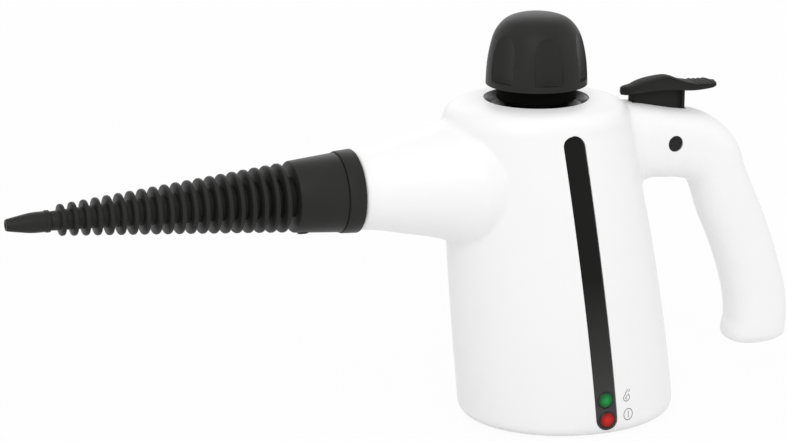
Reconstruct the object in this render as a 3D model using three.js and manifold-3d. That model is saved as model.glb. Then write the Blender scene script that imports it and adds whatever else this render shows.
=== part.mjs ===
// Handheld steam cleaner, built as the separate pieces that it comes apart into.
// Millimetres, +Z up. The filler cap turns about X = 0, Y = 0, the nozzle points to -X, the handle
// lies at +X and the stripe with the lamps on the -Y side. The last lines centre it over the origin.

import * as THREE from 'three';
import { mergeVertices } from 'three/addons/utils/BufferGeometryUtils.js';
import Module from 'manifold-3d';

const wasm = await Module();
wasm.setup();

// Gaps
const seatGap = 0.3; // between pieces that rest on each other
const slideGap = 0.4; // round a piece that slides or turns
const overrun = 1; // how far a cutter runs past what it cuts
const weldDistance = 1e-4; // corners nearer than this are one corner

// Feet and base plate
const footHeight = 2.1;
const footRadius = 6;
const footInset = 12; // from the base plate's edge to a foot's centre
const footPocketDepth = 0.8;
const underside = 0.6; // height of the housing's lower edge over the floor
const basePlateThickness = 2.5;
const basePlateRecess = 0.6; // the plate lies this much above the housing's lower edge
const basePostRadius = 4.4;
const basePostHeight = 16;
const baseScrewAngleShares = [0.13, 0.37, 0.63, 0.87]; // of a full turn round the base
const footAngleShares = [0.1, 0.4, 0.6, 0.9];

// Body shell
const wall = 2.5;
const bodyHalfLength = 64.5;
const bodyHalfWidth = 57.3;
const bodyTaper = 9.8; // how much the half length shrinks from the base to the shoulder
const taperPower = 1.9;
const bodyLean = 21.7; // how far the base stands behind the filler's axis
const leanPower = 1.12;
const edgeRadius = 6.5; // round of the lower edge
const spoutHeight = 145.4; // height of the spout's axis, which the whole top follows
const shoulderAboveSpout = 29.6;
const shoulderFoot = spoutHeight + shoulderAboveSpout; // where the straight side ends
const shoulderHeight = 14.9;
const rimHeight = shoulderFoot + shoulderHeight; // top of the filler opening's rim
const rimRadius = 31.6;
const openingRadius = 30.2;
// Shoulder sections from the side to the rim: share of its height, share of its spread
const shoulderShares = [
  [0, 1], [0.25, 0.993], [0.45, 0.96], [0.64, 0.89], [0.82, 0.75], [0.95, 0.45], [1, 0],
];

// Spout of the body shell
const spoutEnd = 112.2; // how far the spout's end lies before the filler's axis
const spoutRoot = 46; // where the flare meets the body
const spoutEndRadius = 22.1;
const spoutRootRadius = 38.5;
const spoutInsideEnd = 22; // where the flare's solid ends inside the body
// Flare sections from the end to the root: share of the way, share of the growth
const spoutShares = [[0, 0], [0.2, 0.1], [0.45, 0.32], [0.68, 0.52], [0.86, 0.76], [1, 1]];

// Handle of the body shell
const handleReach = 148; // X of the handle's middle line at its rearmost place
const handleAboveSpout = 11.6;
const handleTop = spoutHeight + handleAboveSpout; // Z of the middle line in the top bar
const handleHalfWidth = 18.6;
const handleHalfThickness = 16.5;
const handleSquareness = 2.6; // exponent of the rounded section
// Middle line from inside the body to the free end: shares of reach and top
const handleLineShares = [
  [0.27, 1.014], [0.41, 1.012], [0.54, 1.0015], [0.669, 0.978], [0.754, 0.927], [0.799, 0.841],
  [0.845, 0.736], [0.896, 0.629], [0.952, 0.485], [0.987, 0.361], [0.994, 0.267], [0.985, 0.21],
  [0.985, 0.186], [0.985, 0.176],
];
// Section along that line: shares of the half width and of the half thickness
const handleSizeShares = [
  [1.34, 1.1], [1.28, 1.06], [1.14, 1.0], [1.12, 1.0], [1.0, 1.0], [0.9, 1.0], [0.95, 0.98],
  [0.95, 0.97], [0.95, 0.97], [0.98, 0.98], [0.98, 1.0], [1.02, 0.95], [0.8, 0.74], [0.5, 0.44],
];
const handleSolidSections = 3; // sections left off the hollow at the free end

// Screws that hold the two shells together, driven from the +Y side
const shellBossRadius = 4.6;
const shellScrewRadius = 1.5;
const shellScrewHeadRadius = 3;
const shellScrewHeadHeight = 2;
const shellScrewSeat = 10; // Y of the face under the screw's head
const shellScrewReach = 12; // how far the screw goes into the left shell
const shellWellRadius = 3.8;
const rearScrewUnderSpout = 13.4;
const gripScrewUnderTop = 10;
const shellScrewPlaces = {
  front_low: [-31, 17.5],
  rear_low: [72, 22],
  rear_top: [46, spoutHeight - rearScrewUnderSpout],
  grip_top: [112, handleTop - gripScrewUnderTop],
  grip_low: [146, 52],
};

// Boiler, an upright aluminium pot of two castings
const boilerRadius = 34;
const boilerWall = 3;
const boilerBottom = 34;
const boilerJoint = 84; // height of the joint between the castings
const boilerUnderSpout = 17.4; // room for the pipe to the spout
const boilerTop = spoutHeight - boilerUnderSpout;
const boilerShoulder = 9; // height of the chamfer round the top
const boilerFlangeRadius = 43;
const boilerFlangeThickness = 4;
const boilerGasketThickness = 1.2;
const boilerScrewRadius = 1.8;
const boilerScrewHeadRadius = 3.2;
const boilerScrewHeadHeight = 2.4;
const boilerScrewCount = 4;
const bracketWidth = 8;
const bracketHeight = 10;
const bracketAngleShares = [0.09, 0.41, 0.59, 0.91]; // of a full turn

// Heater, thermostat and thermal fuse on the boiler
const heaterRadius = 23; // middle line of the heating ring
const heaterTube = 3.6;
const heaterSweepShare = 0.86; // of a full turn
const heaterLeg = 13;
const thermostatRadius = 9;
const thermostatHeight = 9;
const fuseRadius = 2.6;
const fuseLength = 15;
const fuseHeight = 58;

// Filler neck, its dish and the plug with the cap
const neckRadius = 14.5;
const neckBore = 12.2;
const neckUnderRim = 2.3;
const neckTop = rimHeight - neckUnderRim;
const neckCollarRadius = 17.5;
const neckCollarHeight = 5;
const neckFlangeRadius = 18;
const neckFlangeHeight = 2.4;
const dishWall = 2;
const dishDepth = 11.5; // from the rim down to the dish's floor
const dishLip = 0.5; // how far the dish's lip stays below the rim
const sealThickness = 1.6;
const plugRadius = 11.6;
const plugLength = 9;
const plugFlangeRadius = 22.8;
const plugFlangeThickness = 3;
const plugHeadRadius = 10;
const plugHeadHeight = 12;
const plugBore = 4.2;
const valveSeatRadius = 2.4;
const capOverRim = 8.2; // gap between the rim and the cap's lower edge
const capBottom = rimHeight + capOverRim;
const capHeight = 41;
const capRadius = 29.1;
const capWall = 2.6;
const capHubRadius = 17;
// Dome profile from the lower edge to the crown: shares of the radius and of the height
const capShares = [
  [1, 0], [0.993, 0.15], [0.975, 0.31], [0.938, 0.48], [0.873, 0.655], [0.818, 0.745], [0.738, 0.828],
  [0.612, 0.91], [0.43, 0.965], [0.215, 0.992], [0, 1],
];
const scallopCount = 6;
const scallopRadius = 24; // of the round tool that leaves a scallop
const scallopDepth = 2.5; // at the cap's lower edge
const scallopLedge = 3.6; // rim left under a scallop
const scallopTurnShare = -99.5 / 360; // direction of the first scallop
const scallopLeanShare = 5.7 / 360; // the tool leans in towards the crown
const capScrewRadius = 1.3;
const capScrewHeadRadius = 2.3;
const capScrewHeadHeight = 1.6;
const capScrewCircle = 13.6;
const capScrewReach = 9;
const capScrewCount = 2;

// Relief valve inside the plug
const reliefHeadRadius = 3.5;
const reliefHeadHeight = 2;
const reliefStemRadius = 1.7;
const reliefStemLength = 8;
const reliefSpringWire = 0.7;
const reliefSpringRadius = 2.8;
const reliefSpringTurns = 3;

// Spout ring and the steam outlet inside it
const ringFront = 122.1; // before the filler's axis
const ringRearRadius = 23.7;
const ringFrontRadius = 23.2;
const ringBore = 19;
const ringSocketRadius = 18.4; // of the sleeve that goes into the spout
const ringSocketLength = 9;
const ringSocketWall = 2.2;
const outletRadius = 6;
const outletBore = 3;
const outletLength = 33; // from its flange to its open end
const outletFlangeThickness = 2.4;

// Nozzle
const coneRearRadius = 22.4;
const coneFrontRadius = 20;
const coneLength = 27.4;
const coneWall = 1.8;
const sleeveRadius = 18.3;
const ribCount = 20;
const ribPitch = 6.55;
const ribThickness = 2.9;
const ribLargeRadius = 19.3;
const ribSmallRadius = 8.7;
const coreLargeRadius = 11.2;
const coreSmallRadius = 5.3;
const nozzleBore = 2.6;
const nozzleNeck = 6; // smooth length before the first rib
const socketWall = 2.4;
const socketLength = 24;
const nozzleSealThickness = 2.4;
const nozzleSealWidth = 1.8;
const jetLength = 21.5;
const jetRadius = 5.7;
const jetMouthRadius = 3.25;
const jetCollarRadius = 6.1;
const jetCollarLength = 2.6;
const jetSpigotRadius = 3.9;
const jetSpigotLength = 8;
const jetBore = 1.4;
// Jet profile from the mouth to the collar: share of its length, share of its growth
const jetShares = [[0, 0], [0.32, 0.5], [0.68, 0.96], [1, 1]];
const buttonRadius = 3.2;
const buttonFlangeRadius = 3.8;
const buttonFlangeHeight = 1.2;
const buttonProud = 0.7;
const buttonTurnShare = -13 / 360; // round the spout's axis from straight below

// Trigger on top of the handle
const triggerHalfWidth = 10.3;
const triggerFront = 54.8;
const triggerLength = 58.4;
const paddleOverHandle = 31.3;
const triggerBase = handleTop + paddleOverHandle; // height of the paddle's flat underside
const triggerRise = 7.7; // from the underside to the crest
// Paddle outline over the underside, from the nose over the crest to the tail
const triggerTopShares = [
  [0, 0.29], [0.02, 0.4], [0.13, 0.58], [0.28, 0.82], [0.42, 1.0], [0.5, 0.93], [0.58, 0.68], [0.66, 0.5],
  [0.74, 0.36],
];
const triggerTailShares = [
  [1, 0.28], [0.98, 0.06], [0.9, -0.02], [0.76, -0.1], [0.6, 0], [0.2, 0], [0.05, -0.1],
];
const gripRidgeCount = 3;
const gripRidgeHeightShare = 0.1;
const gripRidgeBaseShare = 0.28;
const gripRidgeStartShare = 0.79;
const gripRidgePitchShare = 0.06;
const stemHalfWidth = 4.6;
const stemFront = 59.8;
const stemRear = 93.4;
const stemLength = 18.3;
const stemBottom = triggerBase - stemLength;
const stemGrooveWidth = 3.4;
const stemGrooveDepth = 1.4;
const stemGrooveInset = 2.2; // from the stem's rear face
const pivotX = 63.4;
const pivotUnderPaddle = 14.8;
const pivotZ = triggerBase - pivotUnderPaddle;
const pivotRadius = 1.8;
const armFront = 59.8;
const armThickness = 6;
const armHalfWidth = 3;
const armReach = 19; // from the pivot's middle down to the arm's end
const earThickness = 2.6;
const triggerSpringX = 71;
const triggerSpringRadius = 3.2;
const triggerSpringWire = 0.9;
const triggerSpringTurns = 3;
const shelfUnderHandle = 8; // under the middle line of the handle's top bar
const triggerShelf = handleTop - shelfUnderHandle;
const triggerShelfThickness = 2.4;
const triggerShelfHalfLength = 6;
const triggerSlotRoom = 1.4; // before and behind the stem, for the press

// Lock bolt through the handle
const boltX = 82;
const boltOverHandle = 1.6;
const boltZ = handleTop + boltOverHandle;
const boltRadius = 4.5;
const boltTravel = 4;
const boltDish = 0.6;
const boltDishRadius = 3.4;

// Steam valve, worked by the trigger's arm
const valveX = 24; // front of the valve's body
const valveLength = 26;
const valveRadius = 7.5;
const valveUnderHandle = 1;
const valveZ = handleTop - valveUnderHandle;
const valveWallThickness = 2.4;
const plungerRadius = 2.6;
const plungerHeadRadius = 4.2;
const plungerHeadThickness = 1.8;
const plungerInside = 15; // how far the plunger reaches into the valve
const valveSpringWire = 0.8;
const valveSpringRadius = 4;
const valveSpringTurns = 3;
const cradleWidth = 9;
const cradleHeight = 9;

// Pipes
const pipeRadius = 3;
const pipeBore = 1.8;
const pipePortRadius = pipeRadius + slideGap * 1.5; // of the sockets that the pipes' ends sit in

// Stripe with the lamps on the -Y side
const stripeWidth = 11.7;
const stripeShift = 1.6; // the stripe lies this much behind the body's middle line
const stripeThickness = 1.4;
const stripeBottom = 2.6;
const stripeOverShoulder = 2.4;
const stripeTop = shoulderFoot + stripeOverShoulder;
const lampRadius = 4.3;
const lampDepth = 5;
const lampProud = 1;
const lampHighHeight = 22.6;
const lampLowHeight = 10.6;
const lampBoardThickness = 1.6;
const lampBoardWidth = 13;
const lampBoardHeight = 26;

// Mains inlet and wiring inside
const inletAngleShare = 0.12; // of a full turn, behind the handle's side
const inletHeight = 30;
const inletRadius = 6.5;
const inletLip = 1.6;
const inletLipRadius = 8;
const inletBore = 3.6;
const inletDepth = 10;
const blockLength = 22;
const blockWidth = 12;
const blockHeight = 9;
const blockX = 50;
const blockY = 17;
const wireRadius = 1.2;

// Facets round a circle, by size
const roundBig = 28;
const roundMiddle = 16;
const roundSmall = 10;
const roundTiny = 8;
const roundNozzle = 14;
const roundHollow = 20;
const roundScrew = 6;

const full = Math.PI * 2;

// Solids

// A closed three.js geometry as a solid for joining and cutting, its faces turned outwards
function solid(geometry) {
  geometry.deleteAttribute('normal');
  geometry.deleteAttribute('uv');
  const merged = mergeVertices(geometry, weldDistance);
  const points = merged.attributes.position.array;
  const index = merged.index.array;
  const corners = [];
  let volume = 0;
  for (let i = 0; i < index.length; i += 3) {
    const [a, b, c] = [index[i], index[i + 1], index[i + 2]];
    if (a === b || b === c || c === a) continue;
    corners.push(a, b, c);
    const [p, q, r] = [a, b, c].map((n) => new THREE.Vector3().fromArray(points, n * 3));
    volume += p.dot(q.cross(r));
  }
  if (volume < 0) corners.reverse();
  return new wasm.Manifold(new wasm.Mesh({
    numProp: 3,
    vertProperties: new Float32Array(points),
    triVerts: new Uint32Array(corners),
  }));
}

function join(...solids) {
  return solids.reduce((whole, next) => whole.add(next));
}

function cut(whole, ...cutters) {
  return cutters.reduce((left, cutter) => left.subtract(cutter), whole);
}

// Profile of [radius, height] pairs from axis to axis, turned about Z
function turned(profile, sides) {
  const points = profile.map(([radius, height]) => new THREE.Vector2(radius, height));
  return new THREE.LatheGeometry(points, sides).rotateX(Math.PI / 2);
}

// A disc or ring between two heights
function disc(outer, low, high, sides, inner = 0) {
  const profile = [[inner, low], [outer, low], [outer, high], [inner, high]];
  if (inner > 0) profile.push([inner, low]);
  return turned(profile, sides);
}

// Turned about Z, then laid so that its height runs to -X, at the spout's height
function alongSpout(geometry) {
  return geometry.rotateY(-Math.PI / 2).translate(0, 0, spoutHeight);
}

// Turned about Z, then laid so that its height runs to +Y
function alongY(geometry, x, z) {
  return geometry.rotateX(-Math.PI / 2).translate(x, 0, z);
}

function block(x0, x1, y0, y1, z0, z1) {
  return new THREE.BoxGeometry(x1 - x0, y1 - y0, z1 - z0)
    .translate((x0 + x1) / 2, (y0 + y1) / 2, (z0 + z1) / 2);
}

// Outline of [x, z] pairs with a thickness along Y
function plate(outline, y0, y1) {
  const shape = new THREE.Shape(outline.map(([x, z]) => new THREE.Vector2(x, z)));
  return new THREE.ExtrudeGeometry(shape, { depth: y1 - y0, bevelEnabled: false, steps: 1 })
    .rotateX(Math.PI / 2)
    .translate(0, y1, 0);
}

// Rings of the same number of points, joined into one closed body
function loft(rings) {
  const sides = rings[0].length;
  const positions = [];
  const face = (...corners) => corners.forEach((p) => positions.push(p.x, p.y, p.z));
  for (let i = 0; i + 1 < rings.length; i += 1) {
    for (let j = 0; j < sides; j += 1) {
      const k = (j + 1) % sides;
      face(rings[i][j], rings[i][k], rings[i + 1][k]);
      face(rings[i][j], rings[i + 1][k], rings[i + 1][j]);
    }
  }
  [rings[0].slice().reverse(), rings[rings.length - 1]].forEach((ring) => {
    const middle = ring.reduce((sum, p) => sum.add(p), new THREE.Vector3()).divideScalar(sides);
    ring.forEach((p, j) => face(middle, p, ring[(j + 1) % sides]));
  });
  const geometry = new THREE.BufferGeometry();
  return geometry.setAttribute('position', new THREE.Float32BufferAttribute(positions, 3));
}

function circleShape(radius, sides, bore = 0) {
  const corners = (r) => Array.from({ length: sides }, (_, i) =>
    new THREE.Vector2(r * Math.cos((i / sides) * full), r * Math.sin((i / sides) * full)));
  const shape = new THREE.Shape(corners(radius));
  if (bore > 0) shape.holes.push(new THREE.Path(corners(bore)));
  return shape;
}

// A tube along a smooth line through the given places
function tube(places, radius, steps, bore = 0) {
  const line = new THREE.CatmullRomCurve3(places.map((p) => new THREE.Vector3(...p)), false, 'centripetal');
  return new THREE.ExtrudeGeometry(circleShape(radius, 6, bore), { steps, extrudePath: line });
}

// Middle line of a coil spring about Z
class CoilLine extends THREE.Curve {
  constructor(radius, length, turns) {
    super();
    Object.assign(this, { radius, length, turns });
  }

  getPoint(t, target = new THREE.Vector3()) {
    const angle = t * this.turns * full;
    return target.set(this.radius * Math.cos(angle), this.radius * Math.sin(angle), t * this.length);
  }
}

// A coil spring that fills the height from 0 to length, its turns clear of each other
function coil(radius, wire, length, turns) {
  const half = wire / 2;
  const line = new CoilLine(radius - half, length - wire, turns);
  const steps = turns * 8;
  return new THREE.ExtrudeGeometry(circleShape(half, 5), { steps, extrudePath: line }).translate(0, 0, half);
}

// Body sections

const sideHeight = shoulderFoot - underside;

function bodyMiddle(z) {
  const share = THREE.MathUtils.clamp((z - underside) / sideHeight, 0, 1);
  return bodyLean * (1 - share ** leanPower);
}

function bodyShrink(z) {
  return bodyTaper * THREE.MathUtils.clamp((z - underside) / sideHeight, 0, 1) ** taperPower;
}

function ellipse(middle, halfLength, halfWidth, z, sides = roundBig) {
  return Array.from({ length: sides }, (_, i) => {
    const angle = (i / sides) * full;
    return new THREE.Vector3(middle + halfLength * Math.cos(angle), halfWidth * Math.sin(angle), z);
  });
}

function bodySection(z, inset, sides = roundBig) {
  const shrink = bodyShrink(z);
  const widthShare = bodyHalfWidth / bodyHalfLength;
  const halfWidth = bodyHalfWidth - shrink * widthShare;
  return ellipse(bodyMiddle(z), bodyHalfLength - shrink - inset, halfWidth - inset, z, sides);
}

// The shoulder's section at one share pair, pulled in all round by the inset
function shoulderSection([heightShare, spreadShare], inset, sides = roundBig) {
  const sideLength = bodyHalfLength - bodyTaper;
  const sideWidth = sideLength * (bodyHalfWidth / bodyHalfLength);
  const z = shoulderFoot + (rimHeight - shoulderFoot) * heightShare - inset;
  const halfLength = rimRadius + (sideLength - rimRadius) * spreadShare - inset;
  const halfWidth = rimRadius + (sideWidth - rimRadius) * spreadShare - inset;
  return ellipse(bodyMiddle(z), halfLength, halfWidth, z, sides);
}

// Sections up the side and over the shoulder
function sideSections(inset, shoulder, sides) {
  const shares = [0.3, 0.6, 0.82];
  return [
    ...shares.map((share) => bodySection(underside + sideHeight * share, inset, sides)),
    ...shoulder.map((pair) => shoulderSection(pair, inset, sides)),
  ];
}

// The body with its round lower edge, pulled in all round by the inset
function bodyForm(inset) {
  const steps = 3;
  const edge = Array.from({ length: steps + 1 }, (_, i) => {
    const angle = (i / steps) * (Math.PI / 2);
    const z = underside + edgeRadius * (1 - Math.cos(angle));
    return bodySection(z, edgeRadius * (1 - Math.sin(angle)) + inset);
  });
  return solid(loft([...edge, ...sideSections(inset, shoulderShares, roundBig)]));
}

// The hollow of the body over the base plate
function bodyHollow() {
  const floor = underside + basePlateRecess + basePlateThickness + seatGap;
  const foot = bodySection(floor, edgeRadius * 0.6, roundHollow);
  const edge = bodySection(underside + edgeRadius + wall, wall, roundHollow);
  return solid(loft([foot, edge, ...sideSections(wall, shoulderShares.slice(1, -1), roundHollow)]));
}

// The spout's flare, or its hollow
function spoutVolume(inset) {
  const profile = [[0, spoutEnd + (inset > 0 ? overrun : 0)]];
  spoutShares.forEach(([way, growth]) => {
    const radius = spoutEndRadius + (spoutRootRadius - spoutEndRadius) * growth - inset;
    profile.push([radius, spoutEnd - (spoutEnd - spoutRoot) * way + (inset > 0 && way === 0 ? overrun : 0)]);
  });
  profile.push([spoutRootRadius - inset, spoutInsideEnd], [0, spoutInsideEnd]);
  return solid(alongSpout(turned(profile, inset > 0 ? roundHollow : roundBig)));
}

// One rounded section of the handle, square to its middle line
function handleSection(line, sizes, t, inset) {
  const place = line.getPoint(t);
  const along = line.getTangent(t);
  const size = sizes.getPoint(t);
  const across = new THREE.Vector3(-along.z, 0, along.x);
  const power = 2 / handleSquareness;
  const sides = inset > 0 ? roundMiddle - 4 : roundMiddle;
  return Array.from({ length: sides }, (_, i) => {
    const angle = (i / sides) * full;
    const c = Math.sign(Math.cos(angle)) * Math.abs(Math.cos(angle)) ** power;
    const s = Math.sign(Math.sin(angle)) * Math.abs(Math.sin(angle)) ** power;
    const point = across.clone().multiplyScalar(c * (size.x - inset)).add(place);
    point.y = s * (size.y - inset);
    return point;
  });
}

function handleVolume(inset) {
  const curve = (points) => new THREE.CatmullRomCurve3(points, false, 'centripetal');
  const line = curve(handleLineShares.map(([x, z]) => new THREE.Vector3(x * handleReach, 0, z * handleTop)));
  const sizes = curve(handleSizeShares.map(([width, thickness]) =>
    new THREE.Vector3(width * handleHalfWidth, thickness * handleHalfThickness, 0)));
  const last = handleLineShares.length - 1;
  const end = inset > 0 ? last - handleSolidSections : last;
  const rings = [];
  for (let i = 0; i <= end; i += 1) rings.push(handleSection(line, sizes, i / last, inset));
  return solid(loft(rings));
}

// Housing

const basePlateTop = underside + basePlateRecess + basePlateThickness;
const basePlateHalfLength = bodyHalfLength - edgeRadius - seatGap;
const basePlateHalfWidth = bodyHalfWidth - edgeRadius - seatGap;
const baseMiddle = bodyMiddle(underside);

// A place on an ellipse round the base, pulled in from the base plate's edge
function basePlace(angleShare, inset) {
  const angle = angleShare * full;
  const x = baseMiddle + (basePlateHalfLength - inset) * Math.cos(angle);
  return [x, (basePlateHalfWidth - inset) * Math.sin(angle)];
}

const basePostInset = basePostRadius * 0.7;
const baseScrewPlaces = baseScrewAngleShares.map((share) => basePlace(share, basePostInset));

function upright(radius, low, high, sides, [x, y]) {
  return solid(disc(radius, low, high, sides).translate(x, y, 0));
}

// A box from radius to radius away from the filler's axis, in one direction
function spoke(near, far, width, low, high, angleShare) {
  return solid(block(near, far, -width / 2, width / 2, low, high).rotateZ(angleShare * full));
}

const boilerFlangeLow = boilerJoint - boilerFlangeThickness;
const inletAngle = inletAngleShare * full;

// The inlet's place on the body's side and its direction straight out of the surface
function inletFrame() {
  const ring = bodySection(inletHeight, 0);
  const middle = bodyMiddle(inletHeight);
  const halfLength = ring[0].x - middle;
  const halfWidth = halfLength * (bodyHalfWidth / bodyHalfLength);
  const x = middle + halfLength * Math.cos(inletAngle);
  const y = halfWidth * Math.sin(inletAngle);
  const outward = Math.atan2(Math.sin(inletAngle) / halfWidth, Math.cos(inletAngle) / halfLength);
  return { x, y, outward };
}

// A piece turned about Z at the origin, laid along the inlet's direction, 0 on the surface
function atInlet(geometry) {
  const { x, y, outward } = inletFrame();
  return geometry.rotateY(Math.PI / 2).rotateZ(outward).translate(x, y, inletHeight);
}

// Prism of the stripe's outline, leaning as the body's middle line does
function stripePrism(margin) {
  const half = stripeWidth / 2 + margin;
  const low = stripeBottom - margin;
  const high = stripeTop + margin;
  const outline = [];
  const rounds = 6;
  const steps = 4;
  const rise = (i) => low + half + (high - low - 2 * half) * (i / steps);
  for (let i = 0; i <= rounds; i += 1) {
    const angle = Math.PI + (i / rounds) * Math.PI;
    outline.push([half * Math.cos(angle), low + half + half * Math.sin(angle)]);
  }
  for (let i = 1; i <= steps; i += 1) outline.push([half, rise(i)]);
  for (let i = 1; i < rounds; i += 1) {
    const angle = (i / rounds) * Math.PI;
    outline.push([half * Math.cos(angle), high - half + half * Math.sin(angle)]);
  }
  for (let i = steps; i >= 1; i -= 1) outline.push([-half, rise(i)]);
  const leaning = outline.map(([x, z]) => [x + bodyMiddle(z) + stripeShift, z]);
  return solid(plate(leaning, -bodyHalfWidth - overrun, -bodyHalfWidth * 0.5));
}

function lampPlace(height) {
  const x = bodyMiddle(height) + stripeShift;
  const side = bodySection(height, 0);
  const y = Math.min(...side.map((p) => p.y));
  return { x, y, z: height };
}

// A round piece on the -Y side, its height measured outwards from the body's surface
function atLamp(geometry, height) {
  const { x, y, z } = lampPlace(height);
  return geometry.rotateX(Math.PI / 2).translate(x, y, z);
}

const boltHalf = handleHalfThickness - boltDish;
const valveEnd = valveX + valveLength;
const pinHalf = stemHalfWidth + slideGap + earThickness;

function shellBosses() {
  return Object.values(shellScrewPlaces).map(([x, z]) => {
    const boss = disc(shellBossRadius, -bodyHalfWidth, bodyHalfWidth, roundTiny);
    return solid(alongY(boss, x, z));
  });
}

function shellBores() {
  const bores = [];
  Object.values(shellScrewPlaces).forEach(([x, z]) => {
    const end = -shellScrewReach - seatGap;
    const shank = disc(shellScrewRadius + seatGap, end, shellScrewSeat + overrun, roundTiny);
    const well = disc(shellWellRadius, shellScrewSeat, bodyHalfWidth + overrun, roundTiny);
    bores.push(solid(alongY(shank, x, z)), solid(alongY(well, x, z)));
  });
  return bores;
}

// Ribs and posts inside the shells, still running out through the walls
function innerWorks() {
  const works = shellBosses();
  baseScrewPlaces.forEach((place) => {
    const low = basePlateTop + seatGap;
    works.push(upright(basePostRadius, low, basePlateTop + basePostHeight, roundTiny, place));
  });
  bracketAngleShares.forEach((share) => {
    const top = boilerFlangeLow - seatGap;
    const near = boilerRadius + seatGap;
    works.push(spoke(near, bodyHalfLength * 2, bracketWidth, top - bracketHeight, top, share));
  });
  const cradleX = valveEnd - cradleWidth;
  const shelfLow = triggerShelf - triggerShelfThickness;
  const ear = pivotRadius * 2.4;
  [-1, 1].forEach((side) => {
    const across = (near, far) => [Math.min(side * near, side * far), Math.max(side * near, side * far)];
    const cradleNear = valveRadius + seatGap;
    works.push(solid(block(cradleX, cradleX + cradleWidth, ...across(cradleNear, bodyHalfWidth),
      valveZ - cradleHeight / 2, valveZ + cradleHeight / 2)));
    works.push(solid(block(pivotX - ear, pivotX + ear, ...across(stemHalfWidth + slideGap, bodyHalfWidth),
      pivotZ - ear, pivotZ + ear)));
    works.push(solid(block(triggerSpringX - triggerShelfHalfLength, triggerSpringX + triggerShelfHalfLength,
      ...across(0, bodyHalfWidth), shelfLow, triggerShelf)));
  });
  return join(...works);
}

function housing() {
  const outside = join(bodyForm(0), spoutVolume(0), handleVolume(0));
  const inside = join(bodyHollow(), spoutVolume(wall), handleVolume(wall));
  const works = outside.intersect(cut(innerWorks(), boilerRoom(), stripeBack()));
  const shell = join(cut(outside, inside), works);
  return cut(shell, ...housingCuts());
}

// Room for the boiler among the ribs and bosses
function boilerRoom() {
  return solid(disc(boilerRadius + seatGap, boilerBottom - thermostatHeight, neckTop, roundBig));
}

// Room behind the stripe for the lamps and their board
function stripeBack() {
  const { x, y } = lampPlace(lampHighHeight);
  const half = lampBoardWidth / 2 + seatGap;
  return solid(block(x - half, x + half, y + wall, y + wall * 6, basePlateTop, lampBoardHeight * 2));
}

function housingCuts() {
  const opening = solid(disc(openingRadius, rimHeight - dishDepth * 2, rimHeight + overrun, roundBig));
  const floor = loft([underside - overrun, basePlateTop + seatGap].map((z) =>
    ellipse(baseMiddle, basePlateHalfLength + seatGap, basePlateHalfWidth + seatGap, z)));
  const screws = baseScrewPlaces.map((place) =>
    upright(shellScrewRadius + seatGap, underside, basePlateTop + basePostHeight - wall, roundTiny, place));
  const slotHalf = stemHalfWidth + slideGap;
  const slot = solid(block(stemFront - triggerSlotRoom, stemRear + triggerSlotRoom, -slotHalf, slotHalf,
    pivotZ - pivotRadius * 3, rimHeight + overrun));
  const pinBore = disc(pivotRadius + seatGap, -pinHalf - seatGap, pinHalf + seatGap, roundTiny);
  const pin = solid(alongY(pinBore, pivotX, pivotZ));
  const boltBore = disc(boltRadius + slideGap, -bodyHalfWidth, bodyHalfWidth, roundMiddle);
  const bolt = solid(alongY(boltBore, boltX, boltZ));
  const pocket = cut(stripePrism(seatGap), bodyForm(stripeThickness + seatGap));
  const lamps = [lampHighHeight, lampLowHeight].map((height) =>
    solid(atLamp(disc(lampRadius + seatGap, -wall * 3, overrun, roundMiddle), height)));
  const inlet = solid(atInlet(disc(inletRadius + seatGap, -wall * 4, overrun * 3, roundMiddle)));
  return [opening, solid(floor), ...screws, slot, pin, bolt, pocket, ...lamps, inlet, ...shellBores()];
}

// One half of the housing: side is -1 for the left shell and 1 for the right one
function housingHalf(side) {
  const far = bodyHalfWidth + overrun;
  const near = side * seatGap / 2;
  const [y0, y1] = side < 0 ? [-far, near] : [near, far];
  const half = block(-spoutEnd - overrun, handleReach * 2, y0, y1, -overrun, rimHeight * 2);
  return housing().intersect(solid(half));
}

// Base

function basePlate() {
  const rings = [underside + basePlateRecess, basePlateTop].map((z) =>
    ellipse(baseMiddle, basePlateHalfLength, basePlateHalfWidth, z));
  const low = underside + basePlateRecess;
  const holes = baseScrewPlaces.flatMap((place) => [
    upright(shellScrewRadius + seatGap, 0, basePlateTop + overrun, roundTiny, place),
    upright(shellScrewHeadRadius + seatGap, 0, low + basePlateThickness / 2, roundTiny, place),
  ]);
  const pockets = footAngleShares.map((share) =>
    upright(footRadius + seatGap, 0, low + footPocketDepth, roundSmall, basePlace(share, footInset)));
  return cut(solid(loft(rings)), ...holes, ...pockets);
}

function foot(angleShare) {
  const top = underside + basePlateRecess + footPocketDepth - seatGap;
  const bevel = footHeight / 4;
  const profile = [[0, 0], [footRadius - bevel, 0], [footRadius, bevel], [footRadius, top], [0, top]];
  const [x, y] = basePlace(angleShare, footInset);
  return solid(turned(profile, roundSmall).translate(x, y, 0));
}

// A screw that points up from height 0 at the underside of its head
function screw(radius, headRadius, headHeight, reach) {
  const socketRadius = headRadius * 0.5;
  const socketDepth = headHeight * 0.6;
  const profile = [
    [0, -headHeight + socketDepth], [socketRadius, -headHeight + socketDepth], [socketRadius, -headHeight],
    [headRadius, -headHeight], [headRadius, 0], [radius, 0], [radius, reach - radius], [0, reach],
  ];
  return turned(profile, roundScrew);
}

function baseScrew([x, y]) {
  const seat = underside + basePlateRecess + basePlateThickness / 2 + seatGap / 2;
  const headHeight = basePlateThickness / 2 - seatGap / 2;
  const reach = basePlateTop + basePostHeight - wall * 2 - seat;
  const piece = screw(shellScrewRadius, shellScrewHeadRadius, headHeight, reach);
  return solid(piece.translate(x, y, seat - seatGap));
}

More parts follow.
